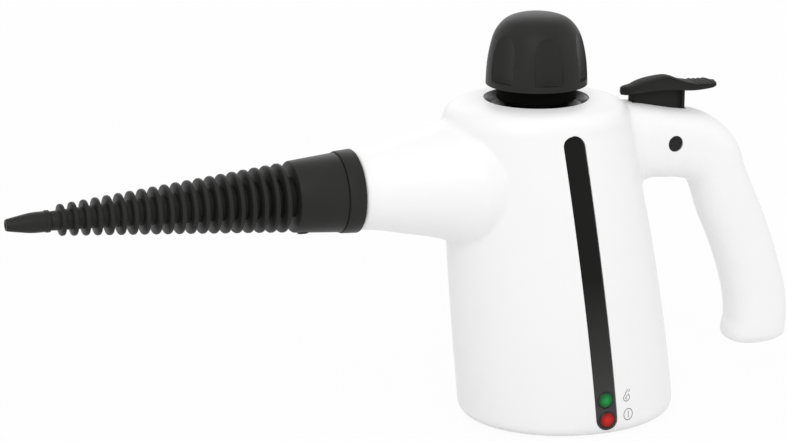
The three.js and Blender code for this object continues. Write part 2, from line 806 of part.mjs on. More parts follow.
function shellScrew([x, z]) {
  const reach = shellScrewSeat + shellScrewReach;
  const piece = screw(shellScrewRadius, shellScrewHeadRadius, shellScrewHeadHeight, reach);
  return solid(piece.rotateX(Math.PI / 2).translate(x, shellScrewSeat + seatGap, z));
}

// Boiler

const gasketLow = boilerJoint + seatGap;
const upperFlangeLow = gasketLow + boilerGasketThickness + seatGap;
const upperFlangeHigh = upperFlangeLow + boilerFlangeThickness;
const boilerScrewCircle = (boilerRadius + boilerFlangeRadius) / 2 + boilerWall / 3;

function boilerScrewPlace(i) {
  const angle = ((i + 0.5) / boilerScrewCount) * full;
  return [boilerScrewCircle * Math.cos(angle), boilerScrewCircle * Math.sin(angle)];
}

function boilerScrewHoles(low, high) {
  return Array.from({ length: boilerScrewCount }, (_, i) =>
    upright(boilerScrewRadius + seatGap, low, high, roundTiny, boilerScrewPlace(i)));
}

function boilerLower() {
  const inner = boilerRadius - boilerWall;
  const profile = [
    [0, boilerBottom], [boilerRadius, boilerBottom], [boilerRadius, boilerFlangeLow],
    [boilerFlangeRadius, boilerFlangeLow], [boilerFlangeRadius, boilerJoint], [inner, boilerJoint],
    [inner, boilerBottom + boilerWall], [0, boilerBottom + boilerWall],
  ];
  const pot = solid(turned(profile, roundMiddle));
  return cut(pot, ...boilerScrewHoles(boilerFlangeLow - overrun, boilerJoint + overrun));
}

function boilerGasket() {
  const ring = disc(boilerFlangeRadius - seatGap, gasketLow, gasketLow + boilerGasketThickness, roundMiddle,
    boilerRadius - boilerWall);
  return cut(solid(ring), ...boilerScrewHoles(gasketLow - overrun, upperFlangeLow + overrun));
}

const outletBossX = neckCollarRadius + pipeRadius * 2 + seatGap;
const neckSocket = neckRadius + seatGap;

function boilerUpper() {
  const inner = boilerRadius - boilerWall;
  const crown = boilerRadius - boilerShoulder;
  const step = boilerTop - boilerShoulder;
  const profile = [
    [inner, upperFlangeLow], [boilerFlangeRadius, upperFlangeLow], [boilerFlangeRadius, upperFlangeHigh],
    [boilerRadius, upperFlangeHigh], [boilerRadius, step], [crown, boilerTop], [neckSocket, boilerTop],
    [neckSocket, boilerTop - boilerWall], [crown - boilerWall / 2, boilerTop - boilerWall], [inner, step],
    [inner, upperFlangeLow],
  ];
  const lid = solid(turned(profile, roundMiddle));
  const place = [outletBossX, 0];
  const bossLow = boilerTop - boilerShoulder / 2;
  const boss = upright(pipeRadius * 2, bossLow, boilerTop + pipeRadius, roundSmall, place);
  const port = upright(pipePortRadius, boilerTop, boilerTop + pipeRadius * 2, roundTiny, place);
  const bore = upright(pipeBore, boilerTop - boilerWall * 2, boilerTop + overrun, roundTiny, place);
  const holes = boilerScrewHoles(upperFlangeLow - overrun, upperFlangeHigh + overrun);
  return cut(join(lid, boss), port, bore, ...holes);
}

function boilerScrew(i) {
  const reach = upperFlangeHigh - boilerFlangeLow + boilerScrewRadius;
  const upward = screw(boilerScrewRadius, boilerScrewHeadRadius, boilerScrewHeadHeight, reach);
  const piece = upward.rotateX(Math.PI);
  const [x, y] = boilerScrewPlace(i);
  return solid(piece.translate(x, y, upperFlangeHigh + seatGap));
}

const heaterZ = boilerBottom - heaterTube - seatGap;

// Heating ring under the boiler, with its two legs pointing down at the gap
function heater() {
  const sweep = heaterSweepShare * full;
  const start = (full - sweep) / 2;
  const count = 12;
  const places = Array.from({ length: count + 1 }, (_, i) => {
    const angle = start + (i / count) * sweep;
    return [heaterRadius * Math.cos(angle), heaterRadius * Math.sin(angle), heaterZ];
  });
  const [first, last] = [places[0], places[count]];
  const ends = (p) => [p[0] + heaterLeg * 0.6, p[1], heaterZ - heaterTube];
  const far = (p) => [p[0] + heaterLeg, p[1], heaterZ - heaterTube * 2];
  return solid(tube([far(first), ends(first), ...places, ends(last), far(last)], heaterTube, 22));
}

function thermostat() {
  const top = boilerBottom - seatGap;
  const can = solid(disc(thermostatRadius, top - thermostatHeight, top, roundSmall + 4));
  const tabLength = thermostatRadius * 0.5;
  const low = top - thermostatHeight - tabLength;
  const tabs = [-1, 1].map((side) => {
    const x = side * thermostatRadius * 0.45;
    const half = thermostatRadius * 0.18;
    return solid(block(x - half / 3, x + half / 3, -half, half, low, top - thermostatHeight / 2));
  });
  return join(can, ...tabs);
}

function thermalFuse() {
  const x = boilerRadius + fuseRadius + seatGap;
  const half = fuseLength / 2;
  const profile = [
    [0, -half], [fuseRadius * 0.4, -half], [fuseRadius, -half * 0.8], [fuseRadius, half * 0.8],
    [fuseRadius * 0.4, half], [0, half],
  ];
  return solid(turned(profile, roundTiny).translate(x, 0, fuseHeight));
}

// Filler

const dishFloor = rimHeight - dishDepth;
const dishRadius = openingRadius - seatGap;
const neckCollarTop = dishFloor - dishWall - seatGap;

function fillerNeck() {
  const root = boilerTop - boilerWall - wall;
  const seat = boilerTop + seatGap;
  const profile = [
    [neckBore, root], [neckRadius, root], [neckRadius, seat], [neckCollarRadius, seat],
    [neckCollarRadius, seat + neckCollarHeight], [neckRadius, seat + neckCollarHeight],
    [neckRadius, neckCollarTop - neckCollarHeight], [neckCollarRadius, neckCollarTop - neckCollarHeight / 2],
    [neckCollarRadius, neckCollarTop], [neckRadius, neckCollarTop],
    [neckRadius, neckTop - neckFlangeHeight * 2],
    [neckFlangeRadius, neckTop - neckFlangeHeight], [neckFlangeRadius, neckTop], [neckBore, neckTop],
    [neckBore, root],
  ];
  return solid(turned(profile, roundMiddle));
}

function fillerDish() {
  const top = rimHeight - dishLip;
  const hole = neckRadius + seatGap;
  const profile = [
    [hole, dishFloor - dishWall], [dishRadius, dishFloor - dishWall], [dishRadius, top],
    [dishRadius - dishWall, top], [dishRadius - dishWall, dishFloor + dishWall],
    [dishRadius - dishWall * 2, dishFloor], [hole, dishFloor], [hole, dishFloor - dishWall],
  ];
  return solid(turned(profile, roundBig));
}

const sealLow = neckTop + seatGap;
const plugFlangeLow = sealLow + sealThickness + seatGap;
const plugFlangeHigh = plugFlangeLow + plugFlangeThickness;
const plugHeadTop = plugFlangeHigh + plugHeadHeight;
const plugBottom = plugFlangeLow - sealThickness - plugLength;
const reliefSeat = plugFlangeLow;

function capSeal() {
  return solid(disc(neckFlangeRadius, sealLow, sealLow + sealThickness, roundMiddle, plugRadius + slideGap));
}

function capScrewPlace(i) {
  const angle = ((i + 0.5) / capScrewCount) * full;
  return [capScrewCircle * Math.cos(angle), capScrewCircle * Math.sin(angle)];
}

// Threaded plug with its flange, a head that drives it and the relief valve's bore
function capPlug() {
  const profile = [
    [valveSeatRadius, plugBottom], [plugRadius, plugBottom], [plugRadius, plugFlangeLow],
    [plugFlangeRadius, plugFlangeLow], [plugFlangeRadius, plugFlangeHigh], [plugHeadRadius, plugFlangeHigh],
    [plugHeadRadius, plugHeadTop], [plugBore, plugHeadTop], [plugBore, reliefSeat],
    [valveSeatRadius, reliefSeat],
    [valveSeatRadius, plugBottom],
  ];
  const low = plugFlangeLow - overrun;
  const holes = Array.from({ length: capScrewCount }, (_, i) => {
    const head = plugFlangeLow + capScrewHeadHeight + seatGap;
    return join(
      upright(capScrewRadius + seatGap, low, plugFlangeHigh + overrun, roundTiny, capScrewPlace(i)),
      upright(capScrewHeadRadius + seatGap, low, head, roundTiny, capScrewPlace(i)),
    );
  });
  return cut(solid(turned(profile, roundMiddle)), ...holes);
}

// Dome profile, pulled in by an inset
function capProfile(inset) {
  return capShares.map(([across, up]) => {
    const radius = Math.max(across * capRadius - inset, 0);
    return [radius, capBottom + up * capHeight - inset * up];
  });
}

// Domed knob with its scallops, hollow round a hub that sits on the plug
function capKnob() {
  const dome = capProfile(0);
  dome.unshift([0, capBottom]);
  const hollow = capProfile(capWall + scallopDepth).filter(([radius]) => radius > capHubRadius);
  const roof = hollow[hollow.length - 1][1];
  const low = capBottom - overrun;
  const hollowOutline = [[0, low], [hollow[0][0], low], ...hollow, [0, roof]];
  const hubLow = plugFlangeHigh + seatGap;
  const hub = solid(disc(capHubRadius, hubLow, roof + overrun, roundMiddle));
  const socket = solid(disc(plugHeadRadius + seatGap, hubLow - overrun, plugHeadTop + seatGap, roundMiddle));
  const bores = Array.from({ length: capScrewCount }, (_, i) =>
    upright(capScrewRadius + seatGap, hubLow - overrun, hubLow + capScrewReach, roundTiny, capScrewPlace(i)));
  const shell = cut(solid(turned(dome, roundBig)), solid(turned(hollowOutline, roundMiddle)));
  return cut(join(shell, hub), socket, ...bores, ...scallops());
}

// Round upright tools that leave arch-topped scallops in the dome
function scallops() {
  const distance = capRadius - scallopDepth + scallopRadius;
  return Array.from({ length: scallopCount }, (_, i) => {
    const angle = scallopTurnShare * full + (i / scallopCount) * full;
    const top = capBottom + capHeight + overrun;
    const tool = disc(scallopRadius, scallopLedge, top - capBottom, roundHollow);
    const leant = tool.rotateY(-scallopLeanShare * full).translate(distance, 0, capBottom);
    return solid(leant.rotateZ(angle));
  });
}

function capScrew(i) {
  const [x, y] = capScrewPlace(i);
  const seat = plugFlangeLow + capScrewHeadHeight;
  const reach = capScrewReach;
  return solid(screw(capScrewRadius, capScrewHeadRadius, capScrewHeadHeight, reach).translate(x, y, seat));
}

function reliefValve() {
  const low = reliefSeat + seatGap;
  const headTop = low + reliefHeadHeight;
  const profile = [
    [0, low], [reliefHeadRadius, low], [reliefHeadRadius, headTop], [reliefStemRadius, headTop],
    [reliefStemRadius, headTop + reliefStemLength], [0, headTop + reliefStemLength],
  ];
  return solid(turned(profile, roundSmall));
}

function reliefSpring() {
  const low = reliefSeat + seatGap * 2 + reliefHeadHeight;
  const length = plugHeadTop + seatGap - low;
  const outer = reliefSpringRadius + reliefSpringWire;
  const spring = coil(outer, reliefSpringWire, length - seatGap, reliefSpringTurns);
  return solid(spring.translate(0, 0, low));
}

// Spout ring and steam outlet

function spoutRing() {
  const rear = spoutEnd + seatGap;
  const sleeve = rear - ringSocketLength;
  const inner = ringSocketRadius - ringSocketWall;
  const notch = seatGap * 2;
  const floor = rear + ringSocketWall;
  const profile = [
    [inner, sleeve], [ringSocketRadius, sleeve], [ringSocketRadius, rear], [ringRearRadius, rear],
    [ringFrontRadius, ringFront - notch], [ringFrontRadius - notch, ringFront], [ringBore, ringFront],
    [ringBore, floor], [inner, floor], [inner, sleeve],
  ];
  const ring = solid(alongSpout(turned(profile, roundBig)));
  const mark = notch * 1.5;
  const dent = block(-ringFront - overrun, -ringFront + mark * 2, -ringFrontRadius - overrun,
    -ringFrontRadius + notch, -mark / 2, mark / 2).rotateX(-full / 32).translate(0, 0, spoutHeight);
  return cut(ring, solid(dent));
}

const outletFlange = spoutEnd - ringSocketLength - seatGap; // front face of the outlet's flange

// Brass spigot that the nozzle's socket slides over
function steamOutlet() {
  const rear = outletFlange - outletFlangeThickness;
  const tail = rear - outletFlangeThickness * 3;
  const seat = spoutInside(outletFlange) - seatGap;
  const end = outletFlange + outletLength;
  const profile = [
    [outletBore, tail], [outletRadius, tail], [outletRadius, rear], [seat, rear], [seat, outletFlange],
    [outletRadius, outletFlange], [outletRadius, end], [outletBore, end], [outletBore, tail],
  ];
  const body = solid(alongSpout(turned(profile, roundMiddle)));
  const socket = disc(pipeRadius + seatGap, tail - overrun, tail + outletFlangeThickness, roundTiny);
  return cut(body, solid(alongSpout(socket)));
}

// Inner radius of the spout at a distance before the filler's axis
function spoutInside(distance) {
  const way = (spoutEnd - distance) / (spoutEnd - spoutRoot);
  const next = spoutShares.findIndex(([share]) => share >= way);
  const [w0, g0] = spoutShares[next - 1];
  const [w1, g1] = spoutShares[next];
  const growth = g0 + (g1 - g0) * ((way - w0) / (w1 - w0));
  const outer = spoutEndRadius + (spoutRootRadius - spoutEndRadius) * growth;
  return (outer - wall) * Math.cos(Math.PI / roundHollow);
}

// Nozzle

const coneRear = ringFront + seatGap;
const coneFront = coneRear + coneLength;
const outletEnd = outletFlange + outletLength;
const socketRadius = outletRadius + slideGap;
const nozzleEnd = coneFront + ribPitch * ribCount + nozzleNeck;

function coreRadius(distance) {
  const share = (distance - coneFront) / (nozzleEnd - coneFront);
  return coreLargeRadius + (coreSmallRadius - coreLargeRadius) * share;
}

// Outer profile of the ribbed part, from the cone's front to the neck
function ribProfile() {
  const points = [];
  for (let i = 0; i < ribCount; i += 1) {
    const middle = coneFront + ribPitch * (i + 1) - ribThickness * 0.1;
    const radius = ribLargeRadius + (ribSmallRadius - ribLargeRadius) * (i / (ribCount - 1));
    const low = middle - ribThickness / 2;
    const high = middle + ribThickness / 2;
    points.push([coreRadius(low), low], [radius, low + ribThickness * 0.2]);
    points.push([radius, high - ribThickness * 0.2], [coreRadius(high), high]);
  }
  return points;
}

function nozzleBody() {
  const sleeveRear = spoutEnd + ringSocketWall + seatGap * 2;
  const inner = sleeveRadius - coneWall;
  const roof = coneFront - coneWall;
  const hub = socketRadius + socketWall;
  const socketRear = roof - socketLength;
  const sealPocket = outletEnd - nozzleSealThickness * 2;
  const profile = [
    [inner, sleeveRear], [sleeveRadius, sleeveRear], [sleeveRadius, coneRear], [coneRearRadius, coneRear],
    [coneFrontRadius, coneFront], [coreRadius(coneFront), coneFront], ...ribProfile(),
    [coreSmallRadius, nozzleEnd], [jetSpigotRadius + seatGap, nozzleEnd],
    [jetSpigotRadius + seatGap, nozzleEnd - jetSpigotLength - seatGap],
    [nozzleBore, nozzleEnd - jetSpigotLength - seatGap], [nozzleBore, outletEnd + seatGap * 2],
    [socketRadius, outletEnd + seatGap * 2], [socketRadius, sealPocket],
    [socketRadius + nozzleSealWidth, sealPocket], [socketRadius + nozzleSealWidth, socketRear],
    [hub + nozzleSealWidth, socketRear], [hub + nozzleSealWidth, roof], [inner, roof], [inner, sleeveRear],
  ];
  const body = solid(alongSpout(turned(profile, roundNozzle)));
  return cut(body, solid(buttonAt(disc(buttonRadius + seatGap, -coneWall * 3, overrun, roundSmall))));
}

function nozzleSeal() {
  const front = outletEnd - nozzleSealThickness * 2 - seatGap;
  const outer = socketRadius + nozzleSealWidth - seatGap;
  const half = nozzleSealThickness / 4;
  const rear = front - nozzleSealThickness;
  const inner = outletRadius + seatGap;
  const profile = [
    [inner, rear + half], [inner + half, rear], [outer - half, rear], [outer, rear + half],
    [outer, front - half],
    [outer - half, front], [inner + half, front], [inner, front - half], [inner, rear + half],
  ];
  return solid(alongSpout(turned(profile, roundMiddle)));
}

function nozzleJet() {
  const start = nozzleEnd + seatGap;
  const tip = start + jetCollarLength + jetLength;
  const tail = start - jetSpigotLength;
  const profile = [
    [jetBore, tail], [jetSpigotRadius, tail], [jetSpigotRadius, start], [jetCollarRadius, start],
    [jetCollarRadius, start + jetCollarLength],
  ];
  jetShares.slice().reverse().forEach(([way, growth]) => {
    profile.push([jetMouthRadius + (jetRadius - jetMouthRadius) * growth, tip - jetLength * way]);
  });
  profile.push([jetBore, tip], [jetBore, tail]);
  return solid(alongSpout(turned(profile, roundSmall + 4)));
}

// A piece turned about Z, placed in the cone's wall so that 0 is the surface and +Z points out and down
function buttonAt(geometry) {
  const inset = coneWall + buttonFlangeRadius + seatGap; // from the cone's front edge
  const distance = coneFront - inset;
  const share = inset / coneLength;
  const radius = coneFrontRadius + (coneRearRadius - coneFrontRadius) * share;
  const placed = geometry.rotateX(Math.PI).translate(-distance, 0, -radius);
  return placed.rotateX(buttonTurnShare * full).translate(0, 0, spoutHeight);
}

function nozzleButton() {
  const thickness = coneFrontRadius - sleeveRadius + coneWall + seatGap;
  const inside = -(thickness + coneWall * 0.5 + seatGap * 2);
  const profile = [
    [0, inside - buttonFlangeHeight], [buttonFlangeRadius, inside - buttonFlangeHeight],
    [buttonFlangeRadius, inside], [buttonRadius, inside], [buttonRadius, buttonProud / 2],
    [buttonRadius * 0.7, buttonProud], [0, buttonProud],
  ];
  return solid(buttonAt(turned(profile, roundSmall)));
}

// Trigger

function triggerPoint([along, up]) {
  return [triggerFront + along * triggerLength, triggerBase + up * triggerRise];
}

function triggerOutline() {
  const outline = triggerTopShares.map(triggerPoint);
  for (let i = 0; i < gripRidgeCount; i += 1) {
    const along = gripRidgeStartShare + i * gripRidgePitchShare;
    const crest = gripRidgeBaseShare + gripRidgeHeightShare;
    outline.push(triggerPoint([along, gripRidgeBaseShare]));
    outline.push(triggerPoint([along + gripRidgePitchShare * 0.3, crest]));
    outline.push(triggerPoint([along + gripRidgePitchShare * 0.65, crest]));
  }
  return [...outline, ...triggerTailShares.map(triggerPoint)];
}

// The paddle seen from above: a round nose and softly rounded tail corners
function paddlePlan() {
  const rear = triggerFront + triggerLength;
  const corner = triggerHalfWidth * 0.45;
  const nose = triggerHalfWidth * 0.6;
  const places = [
    [triggerFront, -triggerHalfWidth + nose], [triggerFront + nose * 0.3, -triggerHalfWidth + nose * 0.3],
    [triggerFront + nose, -triggerHalfWidth], [rear - corner, -triggerHalfWidth],
    [rear - corner * 0.3, -triggerHalfWidth + corner * 0.3], [rear, -triggerHalfWidth + corner],
  ];
  const mirrored = places.map(([x, y]) => [x, -y]).reverse();
  const shape = new THREE.Shape([...places, ...mirrored].map(([x, y]) => new THREE.Vector2(x, y)));
  const low = triggerBase - triggerRise;
  const plan = new THREE.ExtrudeGeometry(shape, { depth: triggerRise * 3, bevelEnabled: false, steps: 1 });
  return plan.translate(0, 0, low);
}

function trigger() {
  const side = solid(plate(triggerOutline(), -triggerHalfWidth, triggerHalfWidth));
  const paddle = side.intersect(solid(paddlePlan()));
  const roof = triggerBase + triggerRise * 0.2;
  const stem = solid(block(stemFront, stemRear, -stemHalfWidth, stemHalfWidth, stemBottom, roof));
  const armTop = stemBottom + overrun;
  const armRear = armFront + armThickness;
  const arm = solid(block(armFront, armRear, -armHalfWidth, armHalfWidth, pivotZ - armReach, armTop));
  const hinge = disc(pivotRadius + slideGap, -triggerHalfWidth, triggerHalfWidth, roundTiny);
  const bore = solid(alongY(hinge, pivotX, pivotZ));
  const grooves = [-1, 1].map((side) => {
    const rear = stemRear - stemGrooveInset;
    const near = side * (stemHalfWidth - stemGrooveDepth);
    const far = side * (stemHalfWidth + overrun);
    const [y0, y1] = side < 0 ? [far, near] : [near, far];
    return solid(block(rear - stemGrooveWidth, rear, y0, y1, stemBottom + wall, triggerBase - overrun / 2));
  });
  const cupRadius = triggerSpringRadius + slideGap;
  const cup = upright(cupRadius, stemBottom - overrun, armTop, roundSmall, [triggerSpringX, 0]);
  return cut(join(paddle, stem, arm), bore, cup, ...grooves);
}

function triggerPin() {
  return solid(alongY(disc(pivotRadius, -pinHalf, pinHalf, roundTiny), pivotX, pivotZ));
}

function triggerSpring() {
  const low = triggerShelf + seatGap;
  const length = stemBottom + overrun - seatGap - low;
  return solid(coil(triggerSpringRadius, triggerSpringWire, length, triggerSpringTurns)
    .rotateZ(Math.PI / 2).translate(triggerSpringX, 0, low));
}

function lockButton() {
  const dish = (y) => solid(alongY(disc(boltDishRadius, y, y + boltDish * 2, roundSmall), boltX, boltZ));
  const ends = [-boltHalf, boltHalf + boltTravel];
  const bar = solid(alongY(disc(boltRadius, ends[0], ends[1], roundMiddle), boltX, boltZ));
  return cut(bar, dish(ends[0] - boltDish), dish(ends[1] - boltDish));
}

// Steam valve and pipes

const plungerRear = armFront - seatGap;
const valveInX = valveX + valveLength * 0.28;
const valveOutX = valveX + valveLength * 0.22;

// A piece turned about Z and laid so that its height runs to +X at the valve's height
function alongValve(geometry) {
  return geometry.rotateY(Math.PI / 2).translate(0, 0, valveZ);
}

function steamValve() {
  const inner = valveRadius - valveWallThickness;
  const floor = valveX + valveWallThickness * 2;
  const guide = plungerRadius + slideGap;
  const profile = [
    [0, valveX], [valveRadius, valveX], [valveRadius, valveEnd], [guide, valveEnd],
    [guide, valveEnd - valveWallThickness], [inner, valveEnd - valveWallThickness],
    [inner, floor], [0, floor],
  ];
  const place = [valveInX, 0];
  const bossRadius = pipeRadius + valveWallThickness;
  const bossLow = valveZ - valveRadius - valveWallThickness;
  const inletBoss = upright(bossRadius, bossLow, valveZ - inner, roundSmall, place);
  const inlet = upright(pipePortRadius, bossLow - overrun, valveZ - valveRadius, roundTiny, place);
  const inletPort = upright(pipeBore, bossLow - overrun, valveZ, roundTiny, place);
  const side = (radius, near, far) => solid(disc(radius, near, far, roundTiny)
    .rotateX(-Math.PI / 2).translate(valveOutX, 0, valveZ));
  const outletBoss = side(bossRadius, inner, valveRadius + valveWallThickness);
  const outlet = side(pipePortRadius, valveRadius, valveRadius * 2);
  const outletPort = side(pipeBore, 0, valveRadius * 2);
  const body = join(solid(alongValve(turned(profile, roundSmall + 4))), inletBoss, outletBoss);
  return cut(body, inlet, inletPort, outlet, outletPort);
}

function valvePlunger() {
  const inside = valveEnd - plungerInside;
  const head = plungerRear - plungerHeadThickness;
  const collar = valveRadius - valveWallThickness - slideGap;
  const collarEnd = inside + plungerHeadThickness;
  const profile = [
    [0, inside], [collar, inside], [collar, collarEnd], [plungerRadius, collarEnd], [plungerRadius, head],
    [plungerHeadRadius, head], [plungerHeadRadius, plungerRear], [0, plungerRear],
  ];
  return solid(alongValve(turned(profile, roundSmall)));
}

function valveSpring() {
  const floor = valveX + valveWallThickness * 2 + seatGap;
  const length = valveEnd - plungerInside - seatGap - floor;
  const spring = coil(valveSpringRadius, valveSpringWire, length, valveSpringTurns);
  return solid(alongValve(spring.translate(0, 0, floor)));
}

function boilerPipe() {
  const low = boilerTop + seatGap;
  const high = valveZ - valveRadius - seatGap;
  const middle = (low + high) / 2;
  const x0 = outletBossX;
  const places = [
    [x0, 0, low], [x0, 0, low + pipeRadius * 2], [(x0 + valveInX) / 2, 0, middle],
    [valveInX, 0, high - pipeRadius * 2], [valveInX, 0, high],
  ];
  return solid(tube(places, pipeRadius, 8, pipeBore));
}

function outletPipe() {
  const near = valveRadius + seatGap;
  const side = neckCollarRadius + pipeRadius * 1.6;
  const end = -(outletFlange - outletFlangeThickness * 3 - seatGap);
  const places = [
    [valveOutX, near, valveZ], [valveOutX, near + pipeRadius * 3, valveZ],
    [valveOutX - pipeRadius * 4, side, (valveZ + spoutHeight) / 2 + pipeRadius],
    [-pipeRadius, side, (valveZ + spoutHeight) / 2], [-neckCollarRadius * 1.5, side * 0.6, spoutHeight],
    [end + pipeRadius * 8, 0, spoutHeight], [end, 0, spoutHeight],
  ];
  return solid(tube(places, pipeRadius, 12, pipeBore));
}

// Stripe and lamps

function sideStripe() {
  const bar = cut(stripePrism(0).intersect(bodyForm(0)), bodyForm(stripeThickness));
  const holes = [lampHighHeight, lampLowHeight].map((height) =>
    solid(atLamp(disc(lampRadius + seatGap, -wall * 3, overrun, roundMiddle), height)));
  return cut(bar, ...holes);
}

function lamp(height) {
  const profile = [
    [0, -lampDepth], [lampRadius, -lampDepth], [lampRadius, lampProud * 0.2],
    [lampRadius * 0.86, lampProud * 0.65],
    [lampRadius * 0.5, lampProud * 0.95], [0, lampProud],
  ];
  return solid(atLamp(turned(profile, roundMiddle), height));
}

// Board that carries the lamps from behind, standing on the base plate
function lampBoard() {
  const high = lampPlace(lampHighHeight);
  const low = lampPlace(lampLowHeight);
  const y = high.y + lampDepth + seatGap;
  const middle = (high.x + low.x) / 2;
  const half = lampBoardWidth / 2;
  return solid(block(middle - half, middle + half, y, y + lampBoardThickness, basePlateTop + seatGap,
    basePlateTop + seatGap + lampBoardHeight));
}

// Mains inlet

function cordInlet() {
  const profile = [
    [inletBore, -inletDepth], [inletRadius, -inletDepth], [inletRadius, seatGap * 2],
    [inletLipRadius, seatGap * 2],
    [inletLipRadius * 0.9, inletLip], [inletBore, inletLip], [inletBore, -inletDepth],
  ];
  return solid(atInlet(turned(profile, roundMiddle)));
}

function terminalBlock() {
  const low = basePlateTop + seatGap;
  const x0 = blockX - blockLength / 2;
  const y0 = blockY - blockWidth / 2;
  const body = solid(block(x0, x0 + blockLength, y0, y0 + blockWidth, low, low + blockHeight));
  const wells = [0.25, 0.75].map((share) => {
    const place = [x0 + blockLength * share, blockY];
    return upright(wireRadius * 1.6, low + blockHeight / 2, low + blockHeight + overrun, roundTiny, place);
  });
  return cut(body, ...wells);
}

// A wire from the inlet's inner end to one well of the terminal block
function mainsWire(i) {
  const { x, y, outward } = inletFrame();
  const back = (depth) => [x - Math.cos(outward) * depth, y - Math.sin(outward) * depth];
  const side = (i - 0.5) * (inletBore * 0.9);
  const offset = [-Math.sin(outward) * side, Math.cos(outward) * side];
  const at = (depth) => back(depth).map((value, k) => value + offset[k]);
  const wellX = blockX - blockLength / 2 + blockLength * (0.75 - 0.5 * i);
  const top = basePlateTop + seatGap + blockHeight;
  const places = [
    [...at(wall), inletHeight], [...at(inletDepth), inletHeight],
    [...at(inletDepth * 1.6), inletHeight - wireRadius * 2],
    [wellX, blockY, top + wireRadius * 4], [wellX, blockY, top - blockHeight / 2 + seatGap],
  ];
  return solid(tube(places, wireRadius, 10));
}

// Materials

const white = { color: 0xf2f2f1, roughness: 0.42, metalness: 0 };
const black = { color: 0x232323, roughness: 0.55, metalness: 0 };
const stripeBlack = { color: 0x141414, roughness: 0.3, metalness: 0 };
const rubber = { color: 0x1c1c1c, roughness: 0.85, metalness: 0 };
const silicone = { color: 0xa8341f, roughness: 0.7, metalness: 0 };
const aluminium = { color: 0xb9bcbf, roughness: 0.5, metalness: 1 };
const brass = { color: 0xb99a4e, roughness: 0.35, metalness: 1 };
const steel = { color: 0x9ea1a4, roughness: 0.35, metalness: 1 };
const hose = { color: 0xd8d4c8, roughness: 0.6, metalness: 0 };
const greenLens = { color: 0x1f8f46, roughness: 0.15, metalness: 0 };
const redLens = { color: 0xc0201c, roughness: 0.15, metalness: 0 };
const board = { color: 0x2d6b45, roughness: 0.6, metalness: 0 };
const nylon = { color: 0xdedbd2, roughness: 0.6, metalness: 0 };

// The assembly

const cleaner = new THREE.Group();

function add(name, shape, finish, parent = cleaner) {
  const mesh = shape.getMesh();
  const geometry = new THREE.BufferGeometry();
  geometry.setAttribute('position', new THREE.BufferAttribute(mesh.vertProperties, 3));
  geometry.setIndex(new THREE.BufferAttribute(mesh.triVerts, 1));
  geometry.computeVertexNormals();
  const piece = new THREE.Mesh(geometry, new THREE.MeshStandardMaterial(finish));
  piece.name = name;
  parent.add(piece);
}

add('housing_left', housingHalf(-1), white);
add('housing_right', housingHalf(1), white);
add('base_plate', basePlate(), black);
footAngleShares.forEach((share, i) => add(`foot_${i + 1}`, foot(share), rubber));
baseScrewPlaces.forEach((place, i) => add(`base_screw_${i + 1}`, baseScrew(place), steel));
Object.entries(shellScrewPlaces).forEach(([name, place]) => {
  add(`shell_screw_${name}`, shellScrew(place), steel);
});

add('boiler_lower', boilerLower(), aluminium);
add('boiler_gasket', boilerGasket(), silicone);
add('boiler_upper', boilerUpper(), aluminium);
for (let i = 0; i < boilerScrewCount; i += 1) add(`boiler_screw_${i + 1}`, boilerScrew(i), steel);
add('heater_element', heater(), steel);
add('thermostat', thermostat(), steel);
add('thermal_fuse', thermalFuse(), nylon);
add('boiler_pipe', boilerPipe(), brass);
add('steam_valve', steamValve(), brass);
add('valve_plunger', valvePlunger(), steel);
add('valve_spring', valveSpring(), steel);
add('outlet_pipe', outletPipe(), hose);
add('steam_outlet', steamOutlet(), brass);

add('filler_neck', fillerNeck(), black);
add('filler_dish', fillerDish(), black);
add('cap_seal', capSeal(), rubber);
add('cap_plug', capPlug(), black);
add('cap_knob', capKnob(), black);
for (let i = 0; i < capScrewCount; i += 1) add(`cap_screw_${i + 1}`, capScrew(i), steel);
add('relief_valve', reliefValve(), brass);
add('relief_spring', reliefSpring(), steel);

add('spout_ring', spoutRing(), black);
add('nozzle_body', nozzleBody(), black);
add('nozzle_seal', nozzleSeal(), silicone);
add('nozzle_jet', nozzleJet(), black);
add('nozzle_button', nozzleButton(), black);

add('trigger', trigger(), black);
add('trigger_pin', triggerPin(), steel);
add('trigger_spring', triggerSpring(), steel);
add('lock_button', lockButton(), black);

add('side_stripe', sideStripe(), stripeBlack);
add('lamp_green', lamp(lampHighHeight), greenLens);
add('lamp_red', lamp(lampLowHeight), redLens);
add('lamp_board', lampBoard(), board);
add('cord_inlet', cordInlet(), rubber);
add('terminal_block', terminalBlock(), nylon);
[0, 1].forEach((i) => add(`mains_wire_${i + 1}`, mainsWire(i), i ? hose : rubber));

// Centre the object over the origin along X
const extent = new THREE.Box3().setFromObject(cleaner);
cleaner.position.x = -(extent.min.x + extent.max.x) / 2;
cleaner.updateMatrixWorld(true);

export default cleaner;
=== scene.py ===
import bmesh
import bpy
from math import atan2, copysign, cos, hypot, pi, radians, sin, sqrt
from mathutils import Matrix, Vector


